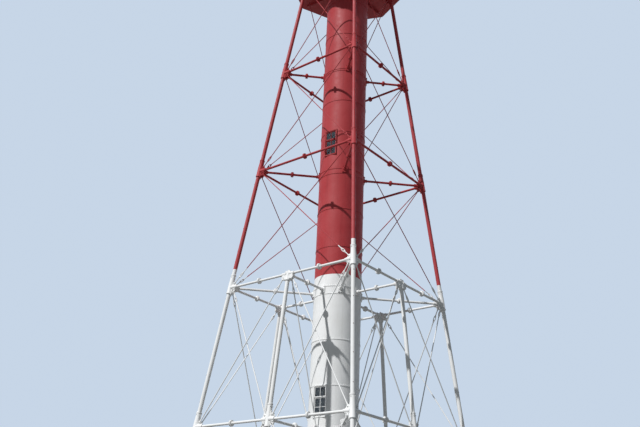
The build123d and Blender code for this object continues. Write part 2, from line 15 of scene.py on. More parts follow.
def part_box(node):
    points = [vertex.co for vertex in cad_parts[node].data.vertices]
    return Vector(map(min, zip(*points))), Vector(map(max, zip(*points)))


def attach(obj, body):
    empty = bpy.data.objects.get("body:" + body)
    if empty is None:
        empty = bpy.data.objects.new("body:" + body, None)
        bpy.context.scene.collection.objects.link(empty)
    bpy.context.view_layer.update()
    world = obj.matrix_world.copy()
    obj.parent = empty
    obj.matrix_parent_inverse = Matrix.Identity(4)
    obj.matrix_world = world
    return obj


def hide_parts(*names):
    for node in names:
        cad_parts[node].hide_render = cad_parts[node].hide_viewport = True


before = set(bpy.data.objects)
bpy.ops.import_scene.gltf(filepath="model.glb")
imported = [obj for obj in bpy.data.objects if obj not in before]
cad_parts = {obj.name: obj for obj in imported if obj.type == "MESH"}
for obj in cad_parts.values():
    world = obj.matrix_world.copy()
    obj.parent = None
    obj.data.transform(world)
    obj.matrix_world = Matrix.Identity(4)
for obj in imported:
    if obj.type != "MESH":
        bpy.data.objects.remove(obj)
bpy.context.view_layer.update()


# Places read from the frame
def middle_height(node):
    """Height of the middle of a CAD node."""
    low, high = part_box(node)
    return (low.z + high.z) / 2


LEVELS = [middle_height(f"side_struts_level_{number}") for number in (1, 2, 3, 4)]
PIER_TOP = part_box("corner_footings")[1].z
BASE_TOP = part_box("cylinder_footing")[1].z
DECK_FOOT, DECK_TOP = (corner.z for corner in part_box("gallery_deck"))
JOIST_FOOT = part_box("gallery_joists")[0].z
WATCH_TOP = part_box("watch_room_walls")[1].z
LANTERN_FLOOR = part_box("lantern_deck")[1].z
GLAZING_FOOT, GLAZING_TOP = (corner.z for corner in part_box("lantern_panes"))
ROOF_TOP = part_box("lantern_roof")[1].z
TIP_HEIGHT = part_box("ventilator")[1].z

# Legs and posts
LEG_OUT_AT_GROUND = 5.561
LEG_BATTER = 0.146
LEG_RADIUS = 0.075
POST_RADIUS = 0.070
HEAD_HEIGHT = JOIST_FOOT - 0.296
PIPE_SIDES = 32
PLUG_FIRST, PLUG_PITCH, PLUG_COUNT = 2.015, 0.945, 26
LEVELS_WITH_POSTS = 2

# Castings
LEG_SLEEVE, POST_SLEEVE = 0.096, 0.090
SLEEVE_BELOW, SLEEVE_ABOVE = 0.250, 0.510
LEG_SOCKET, POST_SOCKET = 0.330, 0.270
WEB_THICKNESS = 0.016
WEB_HALF = WEB_THICKNESS / 2
WEB_SHOULDER = 0.235
WEB_FOOT = 0.30
EYE_OUT, EYE_UP, EYE_RADIUS = 0.176, 0.136, 0.044
EYE_SEAT_HALF = WEB_HALF + 0.004
CAP_BELOW = 0.260
SHOE_HEIGHT = 0.64
SHOE_EYE_UP = 0.330

# Struts and rods
STRUT_RADIUS = 0.044
STRUT_INSET = 0.012
LOWER_ROD_RADIUS, UPPER_ROD_RADIUS = 0.019, 0.016
BUCKLE_LENGTH = 0.26
BUCKLE_FROM_EYE = 0.28
PAINTED_STUB = 0.73
CAP_EYE = (0.165, -0.150)
SEAT_EYE = (0.965, 0.180)

# Stair cylinder
CYLINDER_RADIUS = 0.880
CYLINDER_WALL = 0.012
CYLINDER_STEPS = 96
CYLINDER_PAINT_LINE = 11.526
LEG_PAINT_LINE = 11.685
SEAM_HEIGHTS = [
    2.30, 4.10, 5.728, 6.019, 7.471, 9.095, 10.788, 11.079, 12.636, 14.180,
    15.669, 15.879, 17.544, 18.986, 20.415, 20.503, 22.270, 24.00,
]
LEDGE_HEIGHT, LEDGE_OUT = 0.040, 0.013
RIVET_STEP = 5
UPRIGHT_RIVET_PITCH = 0.085
SEAT_REACH = 0.130
WINDOW_AZIMUTH = -130.5
WINDOW_WIDTH, WINDOW_HEIGHT = 0.480, 1.030
WINDOW_SILLS = (6.400, 16.540)
WINDOW_FACE = 0.892
CASING_BACK = 0.80
DOOR_AZIMUTH = -135
DOOR_WIDTH, DOOR_HEIGHT = 0.620, 1.950
DOOR_FACE = 0.912

# Rooms and decks, eight-sided; the watch room's openings are (width, sill, height)
EIGHTH = 45
HALF_EIGHTH = 22.5
EIGHTH_COS, EIGHTH_SIN, EIGHTH_TAN = (f(radians(HALF_EIGHTH)) for f in (cos, sin, tan))
DECK_RADIUS = 2.657
WATCH_APOTHEM = 1.330
WATCH_WINDOW = (0.420, 0.840, 0.760)
WATCH_DOOR = (0.640, 0.0, 1.750)
WATCH_WINDOW_PANELS = (1, 3, 5, 7)
WATCH_DOOR_PANEL = 4
PANEL_RIVET_PITCH = 0.11
LANTERN_DECK_RADIUS = 1.880
LANTERN_APOTHEM = 1.020
PANE_APOTHEM = 0.990
MULLION_OUT = PANE_APOTHEM / EIGHTH_COS

# Colours of paint and rust
WHITE = (0.86, 0.865, 0.865)
WHITE_SOILED = (0.62, 0.60, 0.55)
WHITE_STREAK = (0.50, 0.46, 0.40)
RED = (0.41, 0.042, 0.047)
RED_FADED = (0.47, 0.075, 0.080)
RED_STREAK = (0.24, 0.026, 0.030)
RUST = (0.23, 0.085, 0.032)

# Light and camera
SKY_COLOUR, SKY_STRENGTH = (0.78, 0.89, 1.0, 1), 0.20
BACKDROP_COLOUR = (0.57, 0.67, 0.80, 1)
SUN_STRENGTH = 3.6
SUN_WIDTH = 1.0
SUN_AZIMUTH, SUN_ELEVATION = -145.2, 46.1
SUN_DISTANCE = 50
FLOOR_HALF = 400
CAMERA_PLACE = (-3.432, -28.426, 1.292)
CAMERA_YAW, CAMERA_PITCH, CAMERA_ROLL = 5.29952, 24.43821, 2.68762
CAMERA_LENS, CAMERA_SENSOR = 45.52, 36

# Rounded edges, and the slot of what is white below the paint line and red above it
THIN_EDGE, CAST_EDGE, CASING_EDGE, CONCRETE_EDGE = 0.002, 0.003, 0.004, 0.012
TWO_TONE = "two_tone_paint"

# Turns of a shape: its y becomes its z, and its z is turned down
UPENDED = Matrix.Rotation(pi / 2, 4, "X")
OVERTURNED = Matrix.Rotation(pi, 4, "X")


# Mesh kit: a shape is its points, as rows of an array, and its faces
def moved(shape, matrix):
    """The shape carried by a matrix."""
    points, faces = shape
    array = np.array(matrix)
    if np.linalg.det(array[:3, :3]) < 0:
        faces = [face[::-1] for face in faces]
    return points @ array[:3, :3].T + array[:3, 3], faces


def placed(shapes, matrix):
    """Several shapes carried by a matrix."""
    return [moved(shape, matrix) for shape in shapes]


def shifted(shape, x, y, z):
    """The shape carried along, unturned."""
    return moved(shape, Matrix.Translation((x, y, z)))


def merged(shapes):
    """Several shapes as one."""
    points, faces, count = [], [], 0
    for shape_points, shape_faces in shapes:
        points.append(shape_points)
        faces.extend(tuple(index + count for index in face) for face in shape_faces)
        count += len(shape_points)
    return np.vstack(points), faces


def spin(angle):
    """Turn about the tower's axis, in degrees."""
    return Matrix.Rotation(radians(angle), 4, "Z")


def around(shapes, count=4, first=0):
    """The shapes repeated around the tower's axis."""
    whole = merged(shapes)
    return [moved(whole, spin(first + 360 * turn / count)) for turn in range(count)]


def facing(origin, along, across=(0, 0, 1)):
    """Matrix whose z runs along a direction and whose x leans towards another."""
    z = Vector(along).normalized()
    x = Vector(across)
    x = (x - z * x.dot(z)).normalized()
    matrix = Matrix((x, z.cross(x), z)).transposed().to_4x4()
    matrix.translation = Vector(origin)
    return matrix


def corners(x, y):
    """The four corners of a rectangle about the origin."""
    return [(across, along) for across in (-x, x) for along in (-y, y)]


def lathe(profile, sides=24, ring=False):
    """A form turned about z from (radius, height) pairs, bottom to top along its outside."""
    angles = np.arange(sides) * 2 * pi / sides
    circle = np.column_stack([np.cos(angles), np.sin(angles)])
    rings, points, count = [], [], 0
    for radius, height in profile:
        if radius == 0:
            points.append(np.array([[0.0, 0.0, height]]))
            rings.append([count] * sides)
        else:
            points.append(np.column_stack([radius * circle, np.full(sides, height)]))
            rings.append(list(range(count, count + sides)))
        count += len(points[-1])
    pairs = list(zip(rings, rings[1:]))
    if ring:
        pairs.append((rings[-1], rings[0]))
    faces = []
    for lower, upper in pairs:
        for side in range(sides):
            following = (side + 1) % sides
            face = (lower[side], lower[following], upper[following], upper[side])
            faces.append(tuple(dict.fromkeys(face)))
    return np.vstack(points), faces


def disc(radius, low, high, sides=24):
    """A round block about z."""
    return lathe([(0, low), (radius, low), (radius, high), (0, high)], sides)


def loft(rings):
    """A skin over rings of equally many points, closed at both ends."""
    count = len(rings[0])
    faces = [tuple(range(count))[::-1]]
    for start in range(0, (len(rings) - 1) * count, count):
        for corner in range(count):
            first, second = start + corner, start + (corner + 1) % count
            faces.append((first, second, second + count, first + count))
    last = (len(rings) - 1) * count
    faces.append(tuple(range(last, last + count)))
    return np.vstack([np.array(ring, float) for ring in rings]), faces


def prism(outline, low, high):
    """An outline of (x, y) points, anticlockwise, carried from z low to z high."""
    count = len(outline)
    flat = np.array(outline, float)
    bottom = np.column_stack([flat, np.full(count, low)])
    top = np.column_stack([flat, np.full(count, high)])
    faces = [tuple(range(count))[::-1], tuple(range(count, 2 * count))]
    for corner in range(count):
        following = (corner + 1) % count
        faces.append((corner, following, following + count, corner + count))
    return np.vstack([bottom, top]), faces


def slab(outline, half):
    """A plate of an outline, about z = 0, by half its thickness."""
    return prism(outline, -half, half)


def block(size, centre=(0, 0, 0)):
    """A box by its size and centre."""
    half_x, half_y, half_z = (length / 2 for length in size)
    outline = [(-half_x, -half_y), (half_x, -half_y), (half_x, half_y), (-half_x, half_y)]
    return shifted(slab(outline, half_z), *centre)


def arc(centre, radius, start, end, steps=8):
    """Points of an arc, angles in degrees."""
    angles = [radians(start + (end - start) * step / steps) for step in range(steps + 1)]
    return [(centre[0] + radius * cos(angle), centre[1] + radius * sin(angle)) for angle in angles]


def bend(start, pull, end, steps=6):
    """Points of a quadratic curve from start to end, pulled towards a point."""
    points = []
    for step in range(steps + 1):
        t = step / steps
        weighted = list(zip(((1 - t) ** 2, 2 * t * (1 - t), t**2), (start, pull, end)))
        points.append(tuple(sum(weight * p[axis] for weight, p in weighted) for axis in (0, 1)))
    return points


def flipped(outline):
    """An outline turned over, with its top below."""
    return [(x, -y) for x, y in outline[::-1]]


def bar(start, end, radius, sides=16):
    """A round bar between two points."""
    start, along = Vector(start), Vector(end) - Vector(start)
    across = (0, 0, 1) if abs(along.normalized().z) < 0.9 else (1, 0, 0)
    return moved(disc(radius, 0, along.length, sides), facing(start, along, across))


def hexagon_head(radius, height):
    """The head of a bolt or a nut, standing on z = 0."""
    chamfer = [(radius, 0.75 * height), (0.86 * radius, height)]
    return lathe([(0, 0), (radius, 0), *chamfer, (0, height)], 6)


def stud_and_nut(radius, height, stud):
    """A nut with its washer and the end of its stud."""
    washer = disc(1.35 * radius, 0, 0.15 * height, 16)
    end = [(0.55 * radius, 0), (0.55 * radius, stud), (0.4 * radius, 1.08 * stud)]
    stud_end = lathe([(0, 0), *end, (0, 1.08 * stud)], 10)
    return merged([washer, hexagon_head(radius, height), stud_end])


def rivet(radius=0.011, height=0.006):
    """A round rivet head on z = 0."""
    return lathe([(0, -0.002), (radius, -0.002), (0.8 * radius, 0.6 * height), (0, height)], 6)


def grid(columns, rows, z):
    """Rows of points in the plane at z."""
    return np.array([[(x, y, z) for x in columns] for y in rows])


def walled(outer, inner, kept, closed=False):
    """A wall between two grids of points, with its cells left out where kept is False."""
    rows, columns = kept.shape
    wide = outer.shape[1]
    offset = outer.shape[0] * wide
    faces = []

    def index(row, column):
        return row * wide + column % wide

    def present(row, column):
        column = column % columns if closed else column
        return 0 <= row < rows and 0 <= column < columns and kept[row, column]

    for row, column in np.argwhere(kept).tolist():
        a, b = index(row, column), index(row, column + 1)
        c, d = index(row + 1, column + 1), index(row + 1, column)
        faces += [(a, b, c, d), (d + offset, c + offset, b + offset, a + offset)]
        edges = (
            (present(row - 1, column), a, b),
            (present(row, column + 1), b, c),
            (present(row + 1, column), c, d),
            (present(row, column - 1), d, a),
        )
        for neighbour, start, end in edges:
            if not neighbour:
                faces.append((end, start, start + offset, end + offset))
    points = np.vstack([outer.reshape(-1, 3), inner.reshape(-1, 3)])
    used = sorted({index for face in faces for index in face})
    renumbered = {old: new for new, old in enumerate(used)}
    return points[used], [tuple(renumbered[index] for index in face) for face in faces]


def make_piece(name, shapes, material, *nodes, slot=None, sharp=32, bevel=0):
    """One named piece of the object, in place of the CAD nodes given."""
    points, faces = merged(shapes)
    mesh = bpy.data.meshes.new(name)
    mesh.from_pydata(points.tolist(), [], faces)
    mesh.materials.append(material)
    mesh.shade_smooth()
    mesh.set_sharp_from_angle(angle=radians(sharp))
    piece = bpy.data.objects.new(name, mesh)
    bpy.context.scene.collection.objects.link(piece)
    if bevel:
        rounding = piece.modifiers.new("rounding", "BEVEL")
        rounding.width = bevel
        rounding.segments = 2
        rounding.limit_method = "ANGLE"
        rounding.angle_limit = radians(40)
        rounding.harden_normals = True
    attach(piece, "root")
    slot = slot or SLOTS[material.name]
    if nodes:
        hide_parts(*nodes)


# Materials
class Nodes:
    """The node tree of a material or of the world, with short calls for what it needs."""

    def __init__(self, owner):
        owner.use_nodes = True
        self.owner = owner
        self.tree = owner.node_tree
        self.tree.nodes.clear()

    def add(self, kind, settings=None, inputs=None):
        """A node with its settings, and its sockets set to values or linked."""
        made = self.tree.nodes.new(kind)
        for key, value in (settings or {}).items():
            setattr(made, key, value)
        for key, value in (inputs or {}).items():
            if isinstance(value, bpy.types.NodeSocket):
                self.tree.links.new(value, made.inputs[key])
            else:
                made.inputs[key].default_value = value
        return made

    def noise(self, scale, detail=4, roughness=0.55, stretch=None):
        """Noise from 0 to 1 at a number of features to the metre."""
        place = self.place
        if stretch:
            inputs = {"Vector": place, "Scale": stretch}
            place = self.add("ShaderNodeMapping", None, inputs).outputs[0]
        values = {"Vector": place, "Scale": scale, "Detail": detail, "Roughness": roughness}
        return self.add("ShaderNodeTexNoise", None, values).outputs["Fac"]

    def spread(self, value, low, high, bottom=0.0, top=1.0):
        """A value's range low to high, clamped, as bottom to top."""
        ends = {"From Min": low, "From Max": high, "To Min": bottom, "To Max": top}
        made = self.add("ShaderNodeMapRange", {"clamp": True}, {"Value": value, **ends})
        return made.outputs["Result"]

    def sums(self, operation, first, second):
        """One step of arithmetic."""
        settings = {"operation": operation}
        return self.add("ShaderNodeMath", settings, {0: first, 1: second}).outputs[0]

    def mix(self, factor, first, second):
        """Two colours mixed."""
        made = self.add("ShaderNodeMix", {"data_type": "RGBA"}, {"Factor": factor})
        for socket, value in (("A", first), ("B", second)):
            target = next(s for s in made.inputs if s.name == socket and s.type == "RGBA")
            if isinstance(value, bpy.types.NodeSocket):
                self.tree.links.new(value, target)
            else:
                target.default_value = (*value, 1)
        return next(s for s in made.outputs if s.type == "RGBA")

    def bump(self, height, distance, normal=None):
        """A bump of some metres for the height's range from 0 to 1."""
        values = {"Height": height, "Distance": distance, "Strength": 1.0}
        if normal:
            values["Normal"] = normal
        return self.add("ShaderNodeBump", None, values).outputs["Normal"]

    def seen(self):
        """1 where a ray shows the camera this surface, also by reflection or through glass."""
        path = self.add("ShaderNodeLightPath").outputs
        direct = self.sums("MAXIMUM", path["Is Camera Ray"], path["Is Glossy Ray"])
        return self.sums("MAXIMUM", direct, path["Is Transmission Ray"])

    def finish(self, inputs):
        """The surface shader and the output."""
        shader = self.add("ShaderNodeBsdfPrincipled", None, inputs)
        self.add("ShaderNodeOutputMaterial", None, {"Surface": shader.outputs[0]})
        return self.owner


def material_nodes(name):
    """A new material's nodes, with the place of a point in its piece's own frame."""
    nodes = Nodes(bpy.data.materials.new(name))
    nodes.place = nodes.add("ShaderNodeTexCoord").outputs["Object"]
    return nodes


def white_colour(nodes, soil, streak):
    """White paint, soiled in places and streaked by rain."""
    soiled = nodes.mix(nodes.sums("MULTIPLY", soil, 0.24), WHITE, WHITE_SOILED)
    return nodes.mix(nodes.sums("MULTIPLY", streak, 0.15), soiled, WHITE_STREAK)


def red_colour(nodes, soil, streak):
    """Dark red paint, chalked by the sun and streaked by rain."""
    faded = nodes.mix(nodes.sums("MULTIPLY", soil, 0.55), RED, RED_FADED)
    return nodes.mix(nodes.sums("MULTIPLY", streak, 0.40), faded, RED_STREAK)


def paint(name, colours, line=None, rust=0.5, gloss=0.25):
    """Weathered paint on iron; a second colour starts at the height of the line."""
    nodes = material_nodes(name)
    soil = nodes.spread(nodes.noise(1.1, 5, 0.6), 0.38, 0.70)
    streak = nodes.spread(nodes.noise(1.0, 6, 0.6, (9, 9, 0.45)), 0.52, 0.74)
    colour = colours[0](nodes, soil, streak)
    if line is not None:
        height = nodes.add("ShaderNodeSeparateXYZ", None, {0: nodes.place}).outputs["Z"]
        wavy = nodes.sums("MULTIPLY_ADD", nodes.noise(18, 2), 0.012)
        nodes.tree.links.new(height, wavy.node.inputs[2])
        above = nodes.spread(wavy, line + 0.004, line + 0.008)
        colour = nodes.mix(above, colour, colours[1](nodes, soil, streak))
    spots = nodes.spread(nodes.noise(7, 9, 0.72), 0.665, 0.70)
    patches = nodes.spread(nodes.noise(0.8, 3), 0.50, 0.62)
    rusty = nodes.sums("MULTIPLY", nodes.sums("MULTIPLY", spots, patches), rust)
    shine = nodes.spread(nodes.noise(5, 4), 0.3, 0.7, 0.44, 0.60)
    uneven = nodes.bump(nodes.noise(3.2, 3), 0.006)
    return nodes.finish({
        "Base Color": nodes.mix(rusty, colour, RUST),
        "Roughness": nodes.sums("MAXIMUM", shine, nodes.sums("MULTIPLY", rusty, 0.85)),
        "Specular IOR Level": gloss,
        "Normal": nodes.bump(nodes.noise(70, 4, 0.6), 0.0012, uneven),
    })


def concrete_material():
    """Weathered concrete with pores, stains and the marks of its form boards."""
    nodes = material_nodes("concrete")
    cloud = nodes.spread(nodes.noise(2.2, 6, 0.6), 0.30, 0.72)
    grain = nodes.noise(60, 6, 0.7)
    colour = nodes.mix(cloud, (0.42, 0.40, 0.36), (0.60, 0.58, 0.54))
    stain = nodes.spread(nodes.noise(1.6, 5, 0.6, (5, 5, 0.6)), 0.54, 0.72)
    colour = nodes.mix(nodes.sums("MULTIPLY", stain, 0.5), colour, (0.26, 0.23, 0.18))
    colour = nodes.mix(nodes.sums("MULTIPLY", grain, 0.30), colour, (0.30, 0.29, 0.27))
    settings = {"bands_direction": "Z", "wave_profile": "SAW"}
    values = {"Vector": nodes.place, "Scale": 1.1, "Distortion": 0.6, "Detail": 2.0}
    boards = nodes.add("ShaderNodeTexWave", settings, values).outputs["Fac"]
    pores = nodes.spread(nodes.noise(38, 3), 0.60, 0.68)
    pitted = nodes.bump(pores, -0.004, nodes.bump(boards, 0.004))
    fine = nodes.bump(grain, 0.002, pitted)
    return nodes.finish({"Base Color": colour, "Roughness": 0.88, "Normal": fine})


def glass_material():
    """Window glass, slightly uneven and dusty."""
    nodes = material_nodes("window_glass")
    return nodes.finish({
        "Base Color": (0.86, 0.90, 0.90, 1),
        "Roughness": nodes.spread(nodes.noise(9, 5), 0.35, 0.75, 0.02, 0.14),
        "Transmission Weight": 1.0,
        "IOR": 1.5,
        "Normal": nodes.bump(nodes.noise(2.5, 2), 0.002),
    })


def rust_material():
    """Bare iron under old rust."""
    nodes = material_nodes("rusty_iron")
    colour = nodes.mix(nodes.noise(40, 6, 0.7), (0.075, 0.045, 0.032), (0.20, 0.085, 0.040))
    pitted = nodes.bump(nodes.noise(150, 5, 0.7), 0.001)
    return nodes.finish({"Base Color": colour, "Roughness": 0.85, "Normal": pitted})


both = [white_colour, red_colour]
white = paint("white_paint_on_iron", [white_colour])
red = paint("red_paint_on_iron", [red_colour], gloss=0.18)
iron = rust_material()
leg_paint = paint("leg_paint_white_and_red", both, LEG_PAINT_LINE)
cylinder_paint = paint("cylinder_paint_white_and_red", both, CYLINDER_PAINT_LINE, 0.35)
concrete = concrete_material()
glass = glass_material()
SLOTS = {
    white.name: "white_paint",
    cylinder_paint.name: "white_paint",
    red.name: "red_paint",
    leg_paint.name: TWO_TONE,
    iron.name: TWO_TONE,
    concrete.name: "concrete",
    glass.name: "glass",
}
LEVEL_COLOURS = (white, white, red, red)


# Directions of the right leg and of the side between the right and back legs
LEG_UP = Vector((-LEG_BATTER, 0, 1)).normalized()
SIDE_ALONG = Vector((-1, 1, 0)).normalized()
OTHER_ALONG = Vector((-1, -1, 0)).normalized()
SIDE_NORMAL = Vector((1, 1, LEG_BATTER)).normalized()
OTHER_NORMAL = Vector((-1, 1, -LEG_BATTER)).normalized()
SIDE_UP = SIDE_NORMAL.cross(SIDE_ALONG)
MID_SIDE_OUT = Vector((1, 1, 0)).normalized()
SIDE_FACTOR = sqrt(1 + LEG_BATTER**2 / 2)


def leg_out(z):
    """Distance of a leg's axis from the tower's axis."""
    return LEG_OUT_AT_GROUND - LEG_BATTER * z


def leg_point(z):
    """The right leg's axis at height z."""
    return Vector((leg_out(z), 0, z))


def side_point(along, z, out=0.0):
    """A point in the plane of the side, or proud of it, at height z."""
    foot = Vector((LEG_OUT_AT_GROUND / 2, LEG_OUT_AT_GROUND / 2, 0))
    return foot + SIDE_ALONG * along + SIDE_UP * (z * SIDE_FACTOR) + SIDE_NORMAL * out


def side_half(z):
    """Half the distance between two neighbouring legs."""
    return leg_out(z) / sqrt(2)


# Castings of the frame
def sleeve(radius, pipe_radius, below, above):
    """A turned sleeve with a lip at its foot, a body at the joint and a collar at its head."""
    lip, bore, recess = radius + 0.010, pipe_radius + 0.006, 0.028
    profile = [
        (0, -below + recess), (bore, -below + recess), (bore, -below), (lip - 0.006, -below),
        (lip, -below + 0.006), (lip, -below + 0.040), (radius + 0.002, -below + 0.058),
        (radius + 0.002, 0.21), (radius - 0.004, 0.235), (radius - 0.007, above - 0.062),
        (radius + 0.001, above - 0.052), (radius + 0.002, above - 0.006), (radius - 0.004, above),
        (bore, above), (bore, above - recess), (0, above - recess),
    ]
    return lathe(profile, PIPE_SIDES)


def socket(reach):
    """A socket for a strut: it narrows from the sleeve to a collar."""
    profile = [
        (0, 0.06), (0.090, 0.06), (0.080, 0.10), (0.070, 0.15), (0.063, reach - 0.052),
        (0.068, reach - 0.046), (0.068, reach - 0.004), (0.064, reach), (0.049, reach),
        (0.049, reach - 0.016), (0, reach - 0.016),
    ]
    return lathe(profile, PIPE_SIDES)


def half_web(reach):
    """The half of a web above its socket: the plate round the rod's eye, and its thick horn."""
    outline = [(0, 0), (reach - 0.010, 0)]
    outline += bend((reach - 0.010, 0.052), (0.262, 0.078), (WEB_SHOULDER, 0.150))
    outline += arc((EYE_OUT, EYE_UP), EYE_RADIUS + 0.018, 20, 112)
    outline += [*bend((0.128, 0.205), (0.100, 0.225), (0.093, WEB_FOOT)), (0, WEB_FOOT)]
    horn = [(0, 0), (reach - 0.006, 0), (reach - 0.006, 0.050)]
    horn += [*bend((reach - 0.012, 0.056), (0.250, 0.066), (0.238, 0.086)), (0.115, 0.088)]
    horn += [*bend((0.112, 0.110), (0.104, 0.200), (0.094, 0.270)), (0, 0.270)]
    return [(outline, WEB_HALF), (horn, 0.034)]


def web(reach, above=True):
    """The web that carries the rods of one side, with raised seats under their eyes."""
    halves = half_web(reach)
    shapes = [slab(flipped(outline), thick) for outline, thick in halves]
    if above:
        shapes += [slab(outline, thick) for outline, thick in halves]
    seat = disc(0.040, -EYE_SEAT_HALF, EYE_SEAT_HALF)
    for up in (EYE_UP, -EYE_UP) if above else (-EYE_UP,):
        shapes.append(shifted(seat, EYE_OUT, up, 0))
    return merged(shapes)


def gusset(above=True):
    """A plain rib above and below the socket of a radial strut."""
    upper = [(0, 0.045), (0.215, 0.045)]
    upper += [*bend((0.215, 0.062), (0.108, 0.090), (0.092, 0.220)), (0, 0.220)]
    outlines = [flipped(upper), upper] if above else [flipped(upper)]
    return merged([slab(outline, 0.015) for outline in outlines])


def web_places(point):
    """Where the right leg's two webs stand."""
    return [facing(point, SIDE_NORMAL, SIDE_ALONG), facing(point, OTHER_NORMAL, OTHER_ALONG)]


def post_web_places(point):
    """Where a side post's two webs stand, each with its y up and its x away from the post."""
    return [facing(point, SIDE_NORMAL, SIDE_ALONG), facing(point, -SIDE_NORMAL, -SIDE_ALONG)]


def joint_sleeve(radius, pipe_radius):
    """The sleeve of a joint, with four set screws round its upper part."""
    shapes = [sleeve(radius, pipe_radius, SLEEVE_BELOW, SLEEVE_ABOVE)]
    for turn in range(4):
        out = spin(45 + 90 * turn) @ Vector((1, 0, 0))
        place = facing(out * (radius - 0.003) + Vector((0, 0, SLEEVE_ABOVE - 0.10)), out)
        shapes.append(moved(hexagon_head(0.017, 0.016), place))
    return shapes


def leg_joint(z):
    """Casting of the right leg at a level."""
    point = leg_point(z)
    shapes = placed(joint_sleeve(LEG_SLEEVE, LEG_RADIUS), facing(point, LEG_UP, (1, 0, 0)))
    for direction in (SIDE_ALONG, OTHER_ALONG, Vector((-1, 0, 0))):
        shapes.append(moved(socket(LEG_SOCKET), facing(point, direction)))
    shapes += [moved(web(LEG_SOCKET), place) for place in web_places(point)]
    shapes.append(moved(gusset(), facing(point, (0, 1, 0), (-1, 0, 0))))
    return shapes


def post_fittings(z, above):
    """Sockets, webs and gusset of a side post's casting; with above, on both sides of them."""
    point = side_point(0, z)
    shapes = []
    for direction in (SIDE_ALONG, -SIDE_ALONG, -MID_SIDE_OUT):
        shapes.append(moved(socket(POST_SOCKET), facing(point, direction)))
    shapes += [moved(web(POST_SOCKET, above), place) for place in post_web_places(point)]
    shapes.append(moved(gusset(above), facing(point, SIDE_ALONG, -MID_SIDE_OUT)))
    return shapes


def post_joint(z):
    """Casting of a side post at the first level."""
    upright = facing(side_point(0, z), SIDE_UP, SIDE_NORMAL)
    return placed(joint_sleeve(POST_SLEEVE, POST_RADIUS), upright) + post_fittings(z, True)


def post_cap(z):
    """Cap of a side post at the second level: a thick plate with lobes over the rods' eyes."""
    half_width, head, half_thick, cut = 0.124, 0.105, 0.056, 0.030
    flank = bend((half_width, -0.09), (0.118, -0.15), (0.092, -0.21))
    outline = [(half_width - cut, head), (-half_width + cut, head), (-half_width, head - cut)]
    outline += [*((-x, y) for x, y in flank), *flank[::-1], (half_width, head - cut)]
    point = side_point(0, z)
    place = facing(point, SIDE_NORMAL, SIDE_ALONG)
    nut_place = facing(place @ Vector((0, head, 0)), SIDE_UP)
    shapes = [moved(slab(outline, half_thick), place)]
    shapes.append(moved(stud_and_nut(0.034, 0.030, 0.046), nut_place))
    rim = arc((EYE_OUT, -EYE_UP), 0.080, -128, 40, 14)
    lobe = slab([(0.07, -0.235), *rim, (0.240, -0.040), (0.07, -0.040)], 0.052)
    shapes += [moved(lobe, side) for side in post_web_places(point)]
    for across, out in corners(0.055, -half_thick):
        bolt_place = facing(place @ Vector((across, 0, out)), SIDE_NORMAL * out)
        shapes.append(moved(hexagon_head(0.020, 0.016), bolt_place))
    bore = POST_RADIUS + 0.006
    lip = [
        (0, 0.028), (bore, 0.028), (bore, 0), (0.098, 0), (0.102, 0.006), (0.102, 0.040),
        (0.094, 0.058), (0.092, 0.20), (0, 0.20),
    ]
    lip_place = facing(place @ Vector((0, -CAP_BELOW, 0)), SIDE_UP, SIDE_NORMAL)
    shapes.append(moved(lathe(lip, PIPE_SIDES), lip_place))
    return shapes + post_fittings(z, False)


def leg_head():
    """Head of the right leg, with the flange that carries the gallery's joists."""
    point = leg_point(HEAD_HEIGHT)
    top = JOIST_FOOT - HEAD_HEIGHT
    tube = sleeve(LEG_SLEEVE, LEG_RADIUS, SLEEVE_BELOW, top - 0.036)
    shapes = [moved(tube, facing(point, LEG_UP, (1, 0, 0)))]
    shapes += [moved(web(WEB_SHOULDER + 0.01), place) for place in web_places(point)]
    over = Matrix.Translation(leg_point(JOIST_FOOT)) @ spin(45)
    shapes.append(moved(block((0.36, 0.36, 0.034), (0, 0, -0.018)), over))
    for across, along in corners(0.14, 0.14):
        below = Matrix.Translation((across, along, -0.035)) @ OVERTURNED
        shapes.append(moved(hexagon_head(0.020, 0.018), over @ below))
    rib = slab([(0.09, -0.20), (0.165, -0.034), (0.05, -0.034), (0.05, -0.20)], 0.009)
    return shapes + [moved(rib, over @ spin(90 * turn) @ UPENDED) for turn in range(4)]


def shoe_web():
    """Web of a shoe, with the seat of the first tier's rod."""
    eye = (EYE_OUT, SHOE_EYE_UP)
    outline = [(0, 0.04), (WEB_SHOULDER, 0.04), (WEB_SHOULDER, 0.29)]
    outline += arc(eye, EYE_RADIUS + 0.010, 0, 118)
    outline += [*bend((0.140, 0.39), (0.102, 0.41), (0.094, 0.54)), (0, 0.54)]
    seat = shifted(disc(0.036, -EYE_SEAT_HALF, EYE_SEAT_HALF), *eye, 0)
    return merged([slab(outline, WEB_HALF), seat])


